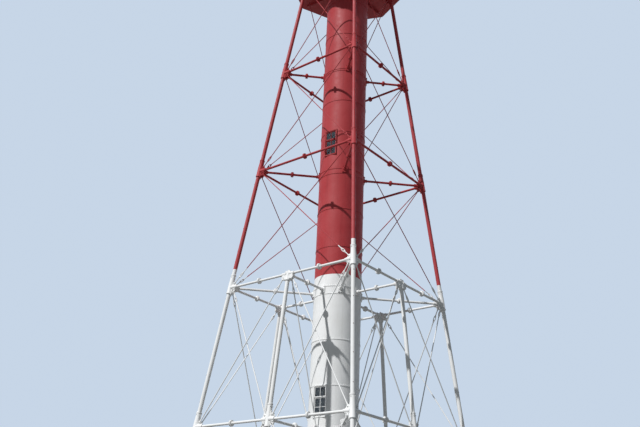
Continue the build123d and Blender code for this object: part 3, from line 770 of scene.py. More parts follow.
def shoe(point, up, plate, radius, pipe_radius, places):
    """Cast shoe on its pier: plate, ribs, leaning sleeve, webs and anchor bolts."""
    base = Matrix.Translation(point) @ spin(45)
    thickness = 0.04
    shapes = [moved(block((plate, plate, thickness), (0, 0, thickness / 2)), base)]
    collar, bore, top = radius + 0.010, pipe_radius + 0.006, SHOE_HEIGHT
    profile = [
        (0, 0.01), (radius + 0.016, 0.01), (radius + 0.004, 0.09), (radius, top - 0.07),
        (collar, top - 0.06), (collar, top - 0.008), (radius + 0.003, top), (bore, top),
        (bore, top - 0.03), (0, top - 0.03),
    ]
    shapes.append(moved(lathe(profile, PIPE_SIDES), facing(point, up, (1, 0, 0))))
    reach = plate / 2 - 0.03
    flank = bend((reach, thickness + 0.02), (radius + 0.05, 0.10), (radius + 0.01, 0.27))
    rib = slab([(0.02, thickness), (reach, thickness), *flank, (0.02, 0.27)], 0.012)
    shapes += [moved(rib, base @ spin(90 * turn) @ UPENDED) for turn in range(4)]
    bolt_out = plate / 2 - 0.07
    for across, along in corners(bolt_out, bolt_out):
        place = base @ Matrix.Translation((across, along, thickness))
        shapes.append(moved(stud_and_nut(0.030, 0.034, 0.085), place))
    return shapes + [moved(shoe_web(), place) for place in places]


def pipe_lengths(point, stops, radius):
    """Pipes between castings; a stop is a height and what its casting takes below and above."""
    shapes = []
    hidden = 0.03
    for (lower, _, above), (upper, below, _) in zip(stops, stops[1:]):
        start, end = point(lower), point(upper)
        along = (end - start).normalized()
        ends = start + along * (above - hidden), end - along * (below - hidden)
        shapes.append(bar(*ends, radius, PIPE_SIDES))
    return shapes


def leg_plugs(stops):
    """Heads of the plugs down the right leg's outer face, clear of its castings."""
    shapes = []
    outward = LEG_UP.cross(Vector((0, -1, 0)))
    plug = lathe([(0, -0.002), (0.013, -0.002), (0.013, 0.005), (0.010, 0.008), (0, 0.008)], 12)
    for step in range(PLUG_COUNT):
        z = PLUG_FIRST + PLUG_PITCH * step
        if all(z < at - below - 0.03 or z > at + above + 0.03 for at, below, above in stops):
            place = facing(leg_point(z) + outward * LEG_RADIUS, outward, LEG_UP)
            shapes.append(moved(plug, place))
    return shapes


leg_stops = [
    (PIER_TOP, 0, SHOE_HEIGHT),
    *((z, SLEEVE_BELOW, SLEEVE_ABOVE) for z in LEVELS),
    (HEAD_HEIGHT, SLEEVE_BELOW, SLEEVE_BELOW),
]
right_leg = merged(pipe_lengths(leg_point, leg_stops, LEG_RADIUS))
for turn, leg_name in enumerate(("right_leg", "back_leg", "left_leg", "front_leg")):
    make_piece(f"{leg_name}_pipes", [moved(right_leg, spin(90 * turn))], leg_paint, leg_name)
make_piece("leg_plug_heads", around(leg_plugs(leg_stops)), iron)

post_stops = [leg_stops[0], leg_stops[1], (LEVELS[1], CAP_BELOW, 0)]
side_post = pipe_lengths(lambda z: side_point(0, z), post_stops, POST_RADIUS)
make_piece("side_post_pipes", around(side_post), white, "side_posts")

leg_foot, post_foot = leg_point(PIER_TOP), side_point(0, PIER_TOP)
leg_shoe = shoe(leg_foot, LEG_UP, 0.64, LEG_SLEEVE, LEG_RADIUS, web_places(leg_foot))
make_piece("leg_shoe_castings", around(leg_shoe), white, "leg_shoes", bevel=CAST_EDGE)
post_shoe = shoe(post_foot, SIDE_UP, 0.48, POST_SLEEVE, POST_RADIUS, post_web_places(post_foot))
make_piece("post_shoe_castings", around(post_shoe), white, "post_shoes", bevel=CAST_EDGE)

for number, (z, colour) in enumerate(zip(LEVELS, LEVEL_COLOURS), start=1):
    joints, node = around(leg_joint(z)), f"leg_joints_level_{number}"
    make_piece(f"leg_castings_level_{number}", joints, colour, node, bevel=CAST_EDGE)
post_joints, post_caps = around(post_joint(LEVELS[0])), around(post_cap(LEVELS[1]))
make_piece("post_castings_level_1", post_joints, white, "post_joints_level_1", bevel=CAST_EDGE)
make_piece("post_cap_castings", post_caps, white, "post_caps_level_2", bevel=CAST_EDGE)
make_piece("leg_head_castings", around(leg_head()), red, "leg_heads", bevel=CAST_EDGE)


# Struts
def coupling():
    """Two bolted flanges on their hubs, about z = 0."""
    half = [
        (0.050, -0.074), (0.056, -0.068), (0.058, -0.038), (0.100, -0.035), (0.106, -0.029),
        (0.106, -0.003), (0.098, -0.002),
    ]
    profile = [(0, -0.074), *half, *((r, -z) for r, z in half[::-1]), (0, 0.074)]
    shapes = [lathe(profile, PIPE_SIDES)]
    for turn in range(4):
        out = spin(90 * turn + 45) @ Vector((0.082, 0, 0))
        for side in (1, -1):
            place = facing(out + Vector((0, 0, 0.034 * side)), (0, 0, side), out)
            shapes.append(moved(hexagon_head(0.016, 0.018), place))
    return merged(shapes)


def strut(start, end):
    """A pipe strut with its coupling in the middle."""
    start, end = Vector(start), Vector(end)
    middle = facing((start + end) / 2, end - start)
    return [bar(start, end, STRUT_RADIUS, 24), moved(coupling(), middle)]


def side_struts(z, halves):
    """Struts of one side; with halves, they meet at its post."""
    leg_end = side_half(z) - LEG_SOCKET + STRUT_INSET
    if not halves:
        return strut(side_point(-leg_end, z), side_point(leg_end, z))
    post_end = POST_SOCKET - STRUT_INSET
    far = strut(side_point(-post_end, z), side_point(-leg_end, z))
    return strut(side_point(post_end, z), side_point(leg_end, z)) + far


def radial_struts(z, halves):
    """Struts from the right leg, and with halves from the post, to the stair cylinder."""
    foot = CYLINDER_RADIUS + SEAT_REACH - STRUT_INSET
    shapes = strut((foot, 0, z), (leg_out(z) - LEG_SOCKET + STRUT_INSET, 0, z))
    if halves:
        level = Vector((0, 0, z))
        post_end = side_half(z) - POST_SOCKET + STRUT_INSET
        shapes += strut(MID_SIDE_OUT * foot + level, MID_SIDE_OUT * post_end + level)
    return shapes


for number, (z, colour) in enumerate(zip(LEVELS, LEVEL_COLOURS), start=1):
    halves = number <= LEVELS_WITH_POSTS
    for kind, struts in (("side", side_struts), ("radial", radial_struts)):
        pipes, node = around(struts(z, halves)), f"{kind}_struts_level_{number}"
        make_piece(f"{kind}_strut_pipes_level_{number}", pipes, colour, node)


# Tie rods
def rod_eye(radius):
    """A forged eye on z = 0 with its pin, x along the rod, the web on the negative z side."""
    thick, rim = radius - 0.005, EYE_RADIUS - 0.004
    edge = [(EYE_RADIUS, -thick + 0.004), (EYE_RADIUS, thick - 0.004)]
    eye = lathe([(0, -thick), (rim, -thick), *edge, (rim, thick), (0, thick)], 20)
    taper = [(1.35 * radius, 0.02), (1.30 * radius, 0.060), (radius, 0.125)]
    neck = lathe([(0, 0.02), *taper, (0, 0.125)], 16)
    nut = stud_and_nut(0.027, 0.020, 0.034)
    behind = Matrix.Translation((0, 0, -radius - WEB_THICKNESS - 0.004)) @ OVERTURNED
    neck_place = facing((0, 0, 0), (1, 0, 0))
    return merged([eye, moved(neck, neck_place), shifted(nut, 0, 0, thick), moved(nut, behind)])


def turnbuckle(radius):
    """An open turnbuckle from z = 0 up: two bosses with bulging side bars between them."""
    length = BUCKLE_LENGTH
    flare = [(1.3 * radius, 0), (0.028, 0.010), (0.028, 0.040), (1.3 * radius, 0.058)]
    boss = lathe([(0, 0), *flare, (0, 0.058)], 16)
    shapes = [boss, moved(boss, facing((0, 0, length), (0, 0, -1), (1, 0, 0)))]
    outer = bend((0.022, 0.012), (0.070, length / 2), (0.022, length - 0.012), 10)
    inner = bend((0.016, length - 0.050), (0.046, length / 2), (0.016, 0.050), 10)
    for side in (1, -1):
        bar_place = facing((0, 0, 0), (0, -side, 0), (side, 0, 0))
        shapes.append(moved(slab(outer + inner, 0.015), bar_place))
    return merged(shapes)


def rod_between(first, last, outward, radius):
    """A rod from eye to eye, on the outward face of its webs, with a turnbuckle near the first.

    Returns the rod's shapes and, apart, those of the end with the turnbuckle.
    """
    direction = (last - first).normalized()
    thread, eye_reach = 0.09, 0.05

    def at(distance):
        return first + direction * distance

    buckle_place = facing(at(BUCKLE_FROM_EYE), direction, outward.cross(direction))
    near = [
        moved(rod_eye(radius), facing(first, outward, direction)),
        bar(at(eye_reach), at(BUCKLE_FROM_EYE + thread), radius),
        moved(turnbuckle(radius), buckle_place),
        bar(at(BUCKLE_FROM_EYE + BUCKLE_LENGTH - thread), at(PAINTED_STUB), radius),
    ]
    far = [
        bar(at(PAINTED_STUB), last - direction * eye_reach, radius),
        moved(rod_eye(radius), facing(last, outward, -direction)),
    ]
    return far, near


def tie_rod(start, end, radius, out_sign, from_end):
    """A rod of a side between two eyes, given as (along, height); from_end turns it about."""
    out = out_sign * (WEB_HALF + radius)
    first, last = side_point(*start, out), side_point(*end, out)
    if from_end:
        first, last = last, first
    return rod_between(first, last, SIDE_NORMAL * out_sign, radius)


def leg_eye(z, up):
    """Eye beside the leg on the positive side of a side plane."""
    height = z + up / SIDE_FACTOR
    return (side_half(height) - EYE_OUT, height)


def post_eye(z, up):
    """Eye beside a side post, towards the positive side."""
    return (EYE_OUT, z + up / SIDE_FACTOR)


def mirrored(eyes):
    """The same eyes across the side's middle."""
    return [(-along, height) for along, height in eyes]


def crossed_rods(left, right, radius, buckles_high):
    """The two rods of a panel, one on each face of the webs; each side is a low and a high eye."""
    far, near = [], []
    for start, end, out_sign in ((left[0], right[1], 1), (right[0], left[1], -1)):
        rod = tie_rod(start, end, radius, out_sign, buckles_high)
        far += rod[0]
        near += rod[1]
    return far, near


def half_panel_rods(z_low, up_low, z_high, radius):
    """Rods of the two half panels of one side, between the legs and the post."""
    post = [post_eye(z_low, up_low), post_eye(z_high, -EYE_UP)]
    leg = [leg_eye(z_low, up_low), leg_eye(z_high, -EYE_UP)]
    positive = crossed_rods(post, leg, radius, True)
    negative = crossed_rods(mirrored(leg), mirrored(post), radius, True)
    return positive[0] + positive[1] + negative[0] + negative[1]


def full_panel_rods(z_low, z_high, radius):
    """Rods of one side, from leg to leg, and apart their lower ends."""
    leg = [leg_eye(z_low, EYE_UP), leg_eye(z_high, -EYE_UP)]
    return crossed_rods(mirrored(leg), leg, radius, False)


def radial_rod():
    """Rod from a post's cap to the cylinder's seat, one level below, with a lug at each end."""
    across = Vector((0, 0, 1)).cross(MID_SIDE_OUT)
    inwards = facing(side_point(0, LEVELS[1]), across, -MID_SIDE_OUT)
    outwards = facing((0, 0, LEVELS[0]), -across, MID_SIDE_OUT)
    cap_rim = arc(CAP_EYE, 0.054, -128, 40, 10)
    cap_lug = slab([(0.07, -0.225), *cap_rim, (0.215, -0.045), (0.07, -0.045)], WEB_HALF)
    seat_rim = arc(SEAT_EYE, 0.046, 0, 150, 10)
    seat_lug = slab([(0.90, 0.045), (1.00, 0.045), *seat_rim, (0.90, 0.140)], WEB_HALF)
    out = WEB_HALF + LOWER_ROD_RADIUS
    high, low = inwards @ Vector((*CAP_EYE, out)), outwards @ Vector((*SEAT_EYE, -out))
    far, near = rod_between(high, low, across, LOWER_ROD_RADIUS)
    return [moved(cap_lug, inwards), moved(seat_lug, outwards)] + far + near


lower_tiers = ((PIER_TOP, SHOE_EYE_UP, LEVELS[0]), (LEVELS[0], EYE_UP, LEVELS[1]))
for number, tier in enumerate(lower_tiers, start=1):
    rods, node = around(half_panel_rods(*tier, LOWER_ROD_RADIUS)), f"tie_rods_tier_{number}"
    make_piece(f"tie_rods_and_turnbuckles_tier_{number}", rods, white, node)
make_piece("radial_tie_rods_tier_2", around(radial_rod()), white)
tier_3, tier_3_ends = full_panel_rods(LEVELS[1], LEVELS[2], UPPER_ROD_RADIUS)
make_piece("tie_rods_tier_3_above_turnbuckles", around(tier_3), red, "tie_rods_tier_3")
make_piece("turnbuckles_tier_3", around(tier_3_ends), white)
for number, tier in enumerate(((LEVELS[2], LEVELS[3]), (LEVELS[3], HEAD_HEIGHT)), start=4):
    rods, ends = full_panel_rods(*tier, UPPER_ROD_RADIUS)
    node = f"tie_rods_tier_{number}"
    make_piece(f"tie_rods_and_turnbuckles_tier_{number}", around(rods + ends), red, node)


# Stair cylinder; its openings are (azimuth, width, sill, height)
def round_point(azimuth, radius, z):
    """A point by its azimuth in degrees, distance from the axis and height."""
    return (radius * cos(radians(azimuth)), radius * sin(radians(azimuth)), z)


def seams_between(low, high):
    """Heights of the seams between two heights."""
    return [seam for seam in SEAM_HEIGHTS if low < seam < high]


def cylinder_rows(low, high, stops):
    """Outside of the plates as (height, radius) rows, with a ledge at each seam."""
    rows = [(low, CYLINDER_RADIUS), (high, CYLINDER_RADIUS)]
    ledge = CYLINDER_RADIUS + LEDGE_OUT
    for seam in seams_between(low, high):
        foot, head = seam - LEDGE_HEIGHT / 2, seam + LEDGE_HEIGHT / 2
        rows += [(foot, CYLINDER_RADIUS), (foot + 0.003, ledge)]
        rows += [(head - 0.006, ledge), (head, CYLINDER_RADIUS)]
    rows += [(stop, CYLINDER_RADIUS) for stop in stops if low < stop < high]
    return sorted(rows)


def cylinder_shell(low, high, openings):
    """Plates of the cylinder between two heights."""
    azimuths = {360 * step / CYLINDER_STEPS for step in range(CYLINDER_STEPS)}
    stops, edges = [], []
    for azimuth, width, sill, height in openings:
        half = degrees(asin(width / 2 / CYLINDER_RADIUS))
        first, last = (azimuth - half) % 360, (azimuth + half) % 360
        azimuths |= {first, last}
        stops += [sill, sill + height]
        edges.append((first, last, sill, sill + height))
    azimuths = np.array(sorted(azimuths))
    rows = cylinder_rows(low, high, stops)
    directions = np.column_stack([np.cos(np.radians(azimuths)), np.sin(np.radians(azimuths))])

    def skin(rows):
        return np.array([[(r * x, r * y, z) for x, y in directions] for z, r in rows])

    kept = np.ones((len(rows) - 1, len(azimuths)), bool)
    middles = (azimuths + np.append(azimuths[1:], azimuths[0] + 360)) / 2
    for row in range(len(rows) - 1):
        height = (rows[row][0] + rows[row + 1][0]) / 2
        for first, last, sill, head in edges:
            if sill < height < head:
                kept[row] &= ~((middles > first) & (middles < last))
    inner_radius = CYLINDER_RADIUS - CYLINDER_WALL
    return walled(skin(rows), skin([(z, inner_radius) for z, _ in rows]), kept, closed=True)


def clear_of_openings(azimuth, z, openings):
    """True where nothing cut through the cylinder, with its casing, is near."""
    for middle, width, sill, height in openings:
        away = abs((azimuth - middle + 180) % 360 - 180)
        near = away < degrees(asin((width / 2 + 0.09) / CYLINDER_RADIUS))
        if near and sill - 0.12 < z < sill + height + 0.12:
            return False
    return True


def cylinder_rivets(low, high, openings):
    """Rows of rivets above and below each seam, and down one upright seam of each course."""
    places = []
    for seam in seams_between(low, high):
        for z in (seam - 0.052, seam + 0.048):
            places += [(azimuth, z) for azimuth in range(0, 360, RIVET_STEP)]
    courses = [low, *seams_between(low, high), high]
    for number, (foot, head) in enumerate(zip(courses, courses[1:])):
        azimuth = 20 + 130 * (number % 3)
        count = int((head - foot - 0.16) / UPRIGHT_RIVET_PITCH)
        for step in range(count):
            z = foot + 0.10 + (head - foot - 0.20) * step / max(count - 1, 1)
            places += [(azimuth - 2, z), (azimuth + 2, z)]
    shapes = []
    for azimuth, z in places:
        if clear_of_openings(azimuth, z, openings):
            foot = round_point(azimuth, CYLINDER_RADIUS - 0.001, z)
            shapes.append(moved(rivet(), facing(foot, round_point(azimuth, 1, 0))))
    return shapes


door_opening = (DOOR_AZIMUTH, DOOR_WIDTH, BASE_TOP, DOOR_HEIGHT)
low_window, high_window = (
    (WINDOW_AZIMUTH, WINDOW_WIDTH, sill, WINDOW_HEIGHT) for sill in WINDOW_SILLS
)
lower_part = (BASE_TOP, CYLINDER_PAINT_LINE, [door_opening, low_window])
upper_part = (CYLINDER_PAINT_LINE, DECK_FOOT, [high_window])
for name, part, colour in (("lower", lower_part, cylinder_paint), ("upper", upper_part, red)):
    node = f"{name}_stair_cylinder"
    make_piece(f"{node}_plates", [cylinder_shell(*part)], colour, node, sharp=20)
for name, part, colour in (("lower", lower_part, white), ("upper", upper_part, red)):
    make_piece(f"{name}_stair_cylinder_rivets", cylinder_rivets(*part), colour, sharp=70)


def strut_seat(azimuth, z):
    """A seat bolted to the cylinder, with the socket of a radial strut."""
    upright = facing(round_point(azimuth, 0, z), round_point(azimuth, 1, 0), (0, 0, 1))
    face, reach = CYLINDER_RADIUS + 0.034, CYLINDER_RADIUS + SEAT_REACH
    profile = [
        (0, face - 0.01), (0.082, face - 0.01), (0.066, face + 0.022), (0.060, face + 0.045),
        (0.060, reach - 0.028), (0.065, reach - 0.024), (0.065, reach - 0.003), (0.062, reach),
        (0.049, reach), (0.049, reach - 0.016), (0, reach - 0.016),
    ]
    shapes = [block((0.290, 0.210, 0.060), (0, 0, face - 0.030)), lathe(profile, PIPE_SIDES)]
    for up, across in corners(0.115, 0.072):
        shapes.append(shifted(hexagon_head(0.017, 0.015), up, across, face))
    return placed(shapes, upright)


for name, levels, azimuths, colour, nodes in (
    ("lower", LEVELS[:2], (0, EIGHTH), white, ["strut_seats"]),
    ("upper", LEVELS[2:], (0,), red, []),
):
    seats = around([s for azimuth in azimuths for z in levels for s in strut_seat(azimuth, z)])
    make_piece(f"{name}_strut_seats", seats, colour, *nodes, slot=TWO_TONE, bevel=CAST_EDGE)


# Windows and entrance of the stair cylinder
def frame_ring(width, height, border, foot_border, back, face):
    """A flat ring around an opening centred on z = 0 of its own frame, x across and y up."""
    columns = [-width / 2 - border, -width / 2, width / 2, width / 2 + border]
    rows = [-height / 2 - foot_border, -height / 2, height / 2, height / 2 + border]
    kept = np.ones((3, 3), bool)
    kept[1, 1] = False
    if foot_border == 0:
        rows, kept = rows[1:], kept[1:]
    return walled(grid(columns, rows, face), grid(columns, rows, back), kept)


def wall_place(azimuth, z):
    """Frame of a flat piece on a wall: x level, y up, z outwards from the axis."""
    out = Vector(round_point(azimuth, 1, 0))
    return facing((0, 0, z), out, Vector((0, 0, 1)).cross(out))


def stair_window(sill):
    """Casing, hood and the bars of two sashes; the panes apart."""
    half_height = WINDOW_HEIGHT / 2
    casing = [frame_ring(WINDOW_WIDTH, WINDOW_HEIGHT, 0.035, 0.035, CASING_BACK, WINDOW_FACE)]
    casing.append(block((0.56, 0.012, 0.09), (0, half_height + 0.034, WINDOW_FACE - 0.038)))
    meeting = half_height - 0.36 * WINDOW_HEIGHT
    stile, rail, bar_width = 0.026, 0.032, 0.016
    clear_width = WINDOW_WIDTH - 2 * stile
    sashes, panes = [], []
    sash_ends = ((meeting, half_height, 0.868, 1), (-half_height, meeting, 0.844, 2))
    for foot, head, face, rows in sash_ends:
        middle, opening = (foot + head) / 2, head - foot - 2 * rail
        ring = frame_ring(clear_width - 0.004, opening, stile, rail, face - 0.026, face)
        sashes.append(shifted(ring, 0, middle, 0))
        sashes.append(block((bar_width, opening, 0.016), (0, middle, face - 0.012)))
        for row in range(1, rows):
            up = middle - opening / 2 + opening * row / rows
            sashes.append(block((clear_width, bar_width, 0.016), (0, up, face - 0.012)))
        panes.append(block((clear_width, opening, 0.004), (0, middle, face - 0.019)))
    place = wall_place(WINDOW_AZIMUTH, sill + half_height)
    return (placed(group, place) for group in (casing, sashes, panes))


all_panes = []
for name, sill, colour, nodes in zip(
    ("lower", "upper"), WINDOW_SILLS, (white, red), (["window_frames"], [])
):
    casing, sashes, panes = stair_window(sill)
    make_piece(
        f"{name}_stair_window_casing", casing, colour, *nodes, slot=TWO_TONE, bevel=CASING_EDGE
    )
    make_piece(f"{name}_stair_window_sashes", sashes, colour, slot=TWO_TONE, bevel=THIN_EDGE)
    all_panes += panes
make_piece("stair_window_panes", all_panes, glass, "window_sashes")


def entrance_door():
    """Plated door: a leaf with a raised frame, two strap hinges and a knob."""
    half_width, height = DOOR_WIDTH / 2 - 0.002, DOOR_HEIGHT - 0.004
    face, border = 0.884, 0.09
    inner_width, inner_height = 2 * half_width - 2 * border, height - 2 * border
    shapes = [block((2 * half_width, height, 0.040), (0, 0, face - 0.024))]
    shapes.append(frame_ring(inner_width, inner_height, border, border, face - 0.006, face + 0.004))
    shapes.append(block((inner_width, border, 0.010), (0, -0.05, face - 0.001)))
    for up in (-0.68, 0.68):
        shapes.append(block((0.42, 0.050, 0.008), (0.08, up, face + 0.008)))
        hinge_place = facing((0.300, up, face + 0.010), (0, 1, 0), (0, 0, 1))
        shapes.append(moved(disc(0.016, -0.05, 0.05, 16), hinge_place))
    knob = [
        (0, 0), (0.030, 0), (0.030, 0.006), (0.010, 0.010), (0.010, 0.035), (0.026, 0.045),
        (0.022, 0.062), (0, 0.066),
    ]
    shapes.append(shifted(lathe(knob, 20), -0.225, 0.0, face + 0.003))
    for step in range(23):
        up = -height / 2 + 0.05 + (height - 0.10) * step / 22
        for across in (-half_width + 0.045, half_width - 0.045):
            shapes.append(shifted(rivet(0.009, 0.005), across, up, face + 0.004))
    return shapes


door_place = wall_place(DOOR_AZIMUTH, BASE_TOP + DOOR_HEIGHT / 2)
door_hood = block((0.80, 0.030, 0.14), (0, DOOR_HEIGHT / 2 + 0.070, DOOR_FACE - 0.050))
door_casing = [frame_ring(DOOR_WIDTH, DOOR_HEIGHT, 0.060, 0, CASING_BACK, DOOR_FACE), door_hood]
door_casing, door_leaf = placed(door_casing, door_place), placed(entrance_door(), door_place)
make_piece("entrance_casing", door_casing, white, "entrance_frame", bevel=CASING_EDGE)
make_piece("entrance_door_leaf", door_leaf, white, "entrance_door", bevel=THIN_EDGE)


# Footings
def square_ring(half, cut, z):
    """Corners of a square with cut corners, at a height."""
    ends = ((half, half - cut, z), (half - cut, half, z))
    return [tuple(spin(90 * turn) @ Vector(end)) for turn in range(4) for end in ends]


def pier(point, base, top, height):
    """A concrete pier with sloping sides and chamfered edges."""
    sizes = ((base / 2, 0), (top / 2 + 0.018, height - 0.035), (top / 2 - 0.012, height))
    rings = [square_ring(half, 0.05, z) for half, z in sizes]
    return moved(loft(rings), Matrix.Translation((point.x, point.y, 0)) @ spin(45))


corner_piers = around([pier(leg_foot, 1.30, 1.00, PIER_TOP)])
make_piece("corner_piers", corner_piers, concrete, "corner_footings", bevel=CONCRETE_EDGE)
post_piers = around([pier(post_foot, 0.90, 0.70, PIER_TOP)])
make_piece("post_piers", post_piers, concrete, "post_footings", bevel=CONCRETE_EDGE)
base = [(0, 0), (1.26, 0), (1.26, BASE_TOP - 0.04), (1.22, BASE_TOP), (0, BASE_TOP)]
make_piece("cylinder_base", [lathe(base, 8)], concrete, "cylinder_footing", bevel=CONCRETE_EDGE)


# Gallery
def deck_plates(radius, foot, head, hole):
    """Eight plates of a deck with narrow joints between them, and their edge strip."""
    joint, strip = 0.003, 0.014
    apothem, half = radius * EIGHTH_COS, radius * EIGHTH_SIN
    inner, inner_half = hole * EIGHTH_COS, hole * EIGHTH_SIN - joint
    edge, edge_half = apothem - 0.012, half - joint - 0.005
    outline = [(inner, -inner_half), (edge, -edge_half), (edge, edge_half), (inner, inner_half)]
    back, back_half = apothem - strip, half - 0.006
    strip_outline = [(back, -back_half), (apothem, -half), (apothem, half), (back, back_half)]
    shapes = [prism(outline, foot + 0.004, head), prism(strip_outline, foot, head - 0.002)]
    return around(shapes, 8, HALF_EIGHTH)


def joist():
    """A rolled joist from the cylinder to the gallery's edge, its foot tapered at the end."""
    start, taper, end = CYLINDER_RADIUS + 0.001, 2.060, 2.380
    head, foot, end_foot = DECK_FOOT, JOIST_FOOT, DECK_FOOT - 0.060
    flange, half_flange, half_plate = 0.009, 0.030, 0.004
    under = [(start, foot), (taper, foot), (end, end_foot)]
    lower = [*under, *((x, y + flange) for x, y in under[::-1])]
    upper = [(start, head - flange), (end, head - flange), (end, head), (start, head)]
    shapes = [slab([*under, (end, head), (start, head)], half_plate)]
    shapes += [slab(outline, half_flange) for outline in (lower, upper)]
    return placed(shapes, UPENDED)


def railing(radius, z, height, bays):
    """Round posts with foot plates and ball heads, and two rails between them."""
    apothem, half, middle = radius * EIGHTH_COS, radius * EIGHTH_SIN, height / 2
    shapes = []
    for up, thick in ((z + height - 0.020, 0.019), (z + middle - 0.020, 0.015)):
        shapes.append(bar((apothem, -half, up), (apothem, half, up), thick))
    profile = [
        (0, 0), (0.048, 0), (0.048, 0.010), (0.030, 0.014), (0.024, 0.030), (0.017, 0.045),
        (0.017, middle - 0.048), (0.026, middle - 0.040), (0.026, middle), (0.017, middle + 0.008),
        (0.017, height - 0.048), (0.026, height - 0.040), (0.028, height - 0.020),
        (0.022, height - 0.004), (0, height),
    ]
    for step in range(bays):
        shapes.append(shifted(lathe(profile, 16), apothem, -half + 2 * half * step / bays, z))
    return around(shapes, 8, HALF_EIGHTH)


gallery_deck = deck_plates(DECK_RADIUS, DECK_FOOT, DECK_TOP, 0.30)
make_piece("gallery_deck_plates", gallery_deck, red, "gallery_deck")
make_piece("gallery_joist_beams", around(joist(), 8), red, "gallery_joists", bevel=THIN_EDGE)
gallery_rails = railing(DECK_RADIUS - 0.060, DECK_TOP, 1.060, 2)
make_piece("gallery_rails_and_posts", gallery_rails, red, "gallery_railing")


# Watch room
def panel_place(number, z):
    """Frame of a numbered panel of an eight-sided room."""
    return wall_place(EIGHTH * number + HALF_EIGHTH, z)


def panel_wall(apothem, wall, height, opening=None):
    """A mitred wall panel in a wall's own frame, y up from its foot."""
    outer_half, inner_half = (out * EIGHTH_TAN - 0.0005 for out in (apothem, apothem - wall))
    columns, inner_columns, rows = [-outer_half, outer_half], [-inner_half, inner_half], [0, height]
    if opening:
        width, sill, clear = opening
        columns[1:1] = inner_columns[1:1] = [-width / 2, width / 2]
        rows = [0, sill, sill + clear, height] if sill else [0, clear, height]
    kept = np.ones((len(rows) - 1, len(columns) - 1), bool)
    if opening:
        kept[1 if sill else 0, 1] = False
    return walled(grid(columns, rows, apothem), grid(inner_columns, rows, apothem - wall), kept)


def panel_trim(apothem, height, doorway=0.0):
    """Strips at the foot, head and edges of a panel, and their rivets, clear of a doorway."""
    strip, proud = 0.070, 0.006
    thick, middle, face = proud + 0.004, apothem + proud / 2, apothem + proud
    half = apothem * EIGHTH_TAN
    edge, head = half - strip / 2, height - strip / 2
    clear = doorway / 2 + 0.050 if doorway else 0.0
    shapes = [block((2 * half, strip, thick), (0, head, middle))]
    for side in (-1, 1):
        foot_place = (side * (half + clear) / 2, strip / 2, middle)
        shapes.append(block((half - clear, strip, thick), foot_place))
        shapes.append(block((strip, height, proud), (side * edge, height / 2, middle)))
    count = int(height / PANEL_RIVET_PITCH)
    for step in range(count):
        up = 0.035 + (height - 0.07) * step / (count - 1)
        shapes += [shifted(rivet(), side * edge, up, face) for side in (-1, 1)]
    count = int(2 * half / PANEL_RIVET_PITCH)
    for step in range(1, count):
        across = -half + 2 * half * step / count
        heights = (strip / 2, head) if abs(across) >= clear else (head,)
        shapes += [shifted(rivet(), across, up, face + 0.002) for up in heights]
    return shapes


def watch_window():
    """Casing and bars of a watch room window, about its middle; the pane apart."""
    width, _, height = WATCH_WINDOW
    face = WATCH_APOTHEM - 0.008
    shapes = [
        frame_ring(width - 0.01, height - 0.01, 0.055, 0.055, WATCH_APOTHEM - 0.02, face + 0.022),
        frame_ring(width - 0.075, height - 0.075, 0.034, 0.034, face - 0.026, face),
        block((0.020, height - 0.07, 0.018), (0, 0, face - 0.012)),
    ]
    for up in (-height / 6, height / 6):
        shapes.append(block((width - 0.07, 0.020, 0.018), (0, up, face - 0.012)))
    return shapes, block((width - 0.07, height - 0.07, 0.004), (0, 0, face - 0.018))


def watch_door():
    """The watch room's door: leaf, casing, hinges and knob, in a wall's own frame."""
    width, _, height = WATCH_DOOR
    face = WATCH_APOTHEM - 0.004
    casing_back, casing_face = WATCH_APOTHEM - 0.01, WATCH_APOTHEM + 0.013
    shapes = [
        block((width - 0.006, height - 0.006, 0.036), (0, 0, face - 0.018)),
        frame_ring(width - 0.166, height - 0.186, 0.08, 0.09, face - 0.004, face + 0.005),
        block((width - 0.17, 0.08, 0.009), (0, -0.05, face)),
        frame_ring(width, height, 0.050, 0, casing_back, casing_face),
    ]
    for up in (-0.60, 0.60):
        hinge_place = facing((width / 2 - 0.004, up, face + 0.010), (0, 1, 0), (0, 0, 1))
        shapes.append(moved(disc(0.013, -0.045, 0.045, 16), hinge_place))
    knob = [
        (0, 0), (0.026, 0), (0.026, 0.005), (0.009, 0.009), (0.009, 0.032), (0.022, 0.042),
        (0.019, 0.056), (0, 0.060),
    ]
    shapes.append(shifted(lathe(knob, 20), -width / 2 + 0.045, 0.0, face + 0.004))
    return placed(shapes, panel_place(WATCH_DOOR_PANEL, DECK_TOP + height / 2))


watch_walls, watch_windows, watch_panes = [], [], []
watch_height = WATCH_TOP - DECK_TOP
for number in range(8):
    place = panel_place(number, DECK_TOP)
    opening = WATCH_WINDOW if number in WATCH_WINDOW_PANELS else None
    doorway = 0.0
    if number == WATCH_DOOR_PANEL:
        opening, doorway = WATCH_DOOR, WATCH_DOOR[0]
    wall = panel_wall(WATCH_APOTHEM, 0.050, watch_height, opening)
    watch_walls += placed([wall, *panel_trim(WATCH_APOTHEM, watch_height, doorway)], place)
    if number in WATCH_WINDOW_PANELS:
        shapes, pane = watch_window()
        centre = place @ Matrix.Translation((0, WATCH_WINDOW[1] + WATCH_WINDOW[2] / 2, 0))
        watch_windows += placed(shapes, centre)
        watch_panes.append(moved(pane, centre))
cornice = [
    (1.38, -0.10), (1.448, -0.10), (1.456, -0.075), (1.470, -0.050), (1.500, -0.028),
    (1.530, -0.018), (1.530, 0.0), (1.38, 0.0),
]
watch_walls.append(shifted(lathe(cornice, 8, ring=True), 0, 0, WATCH_TOP))
make_piece("watch_room_plates", watch_walls, red, "watch_room_walls")
make_piece("watch_room_window_frames", watch_windows, red, "watch_room_windows", bevel=THIN_EDGE)
make_piece("watch_room_window_panes", watch_panes, glass)
make_piece("watch_room_door_leaf", watch_door(), red, "watch_room_door", bevel=THIN_EDGE)


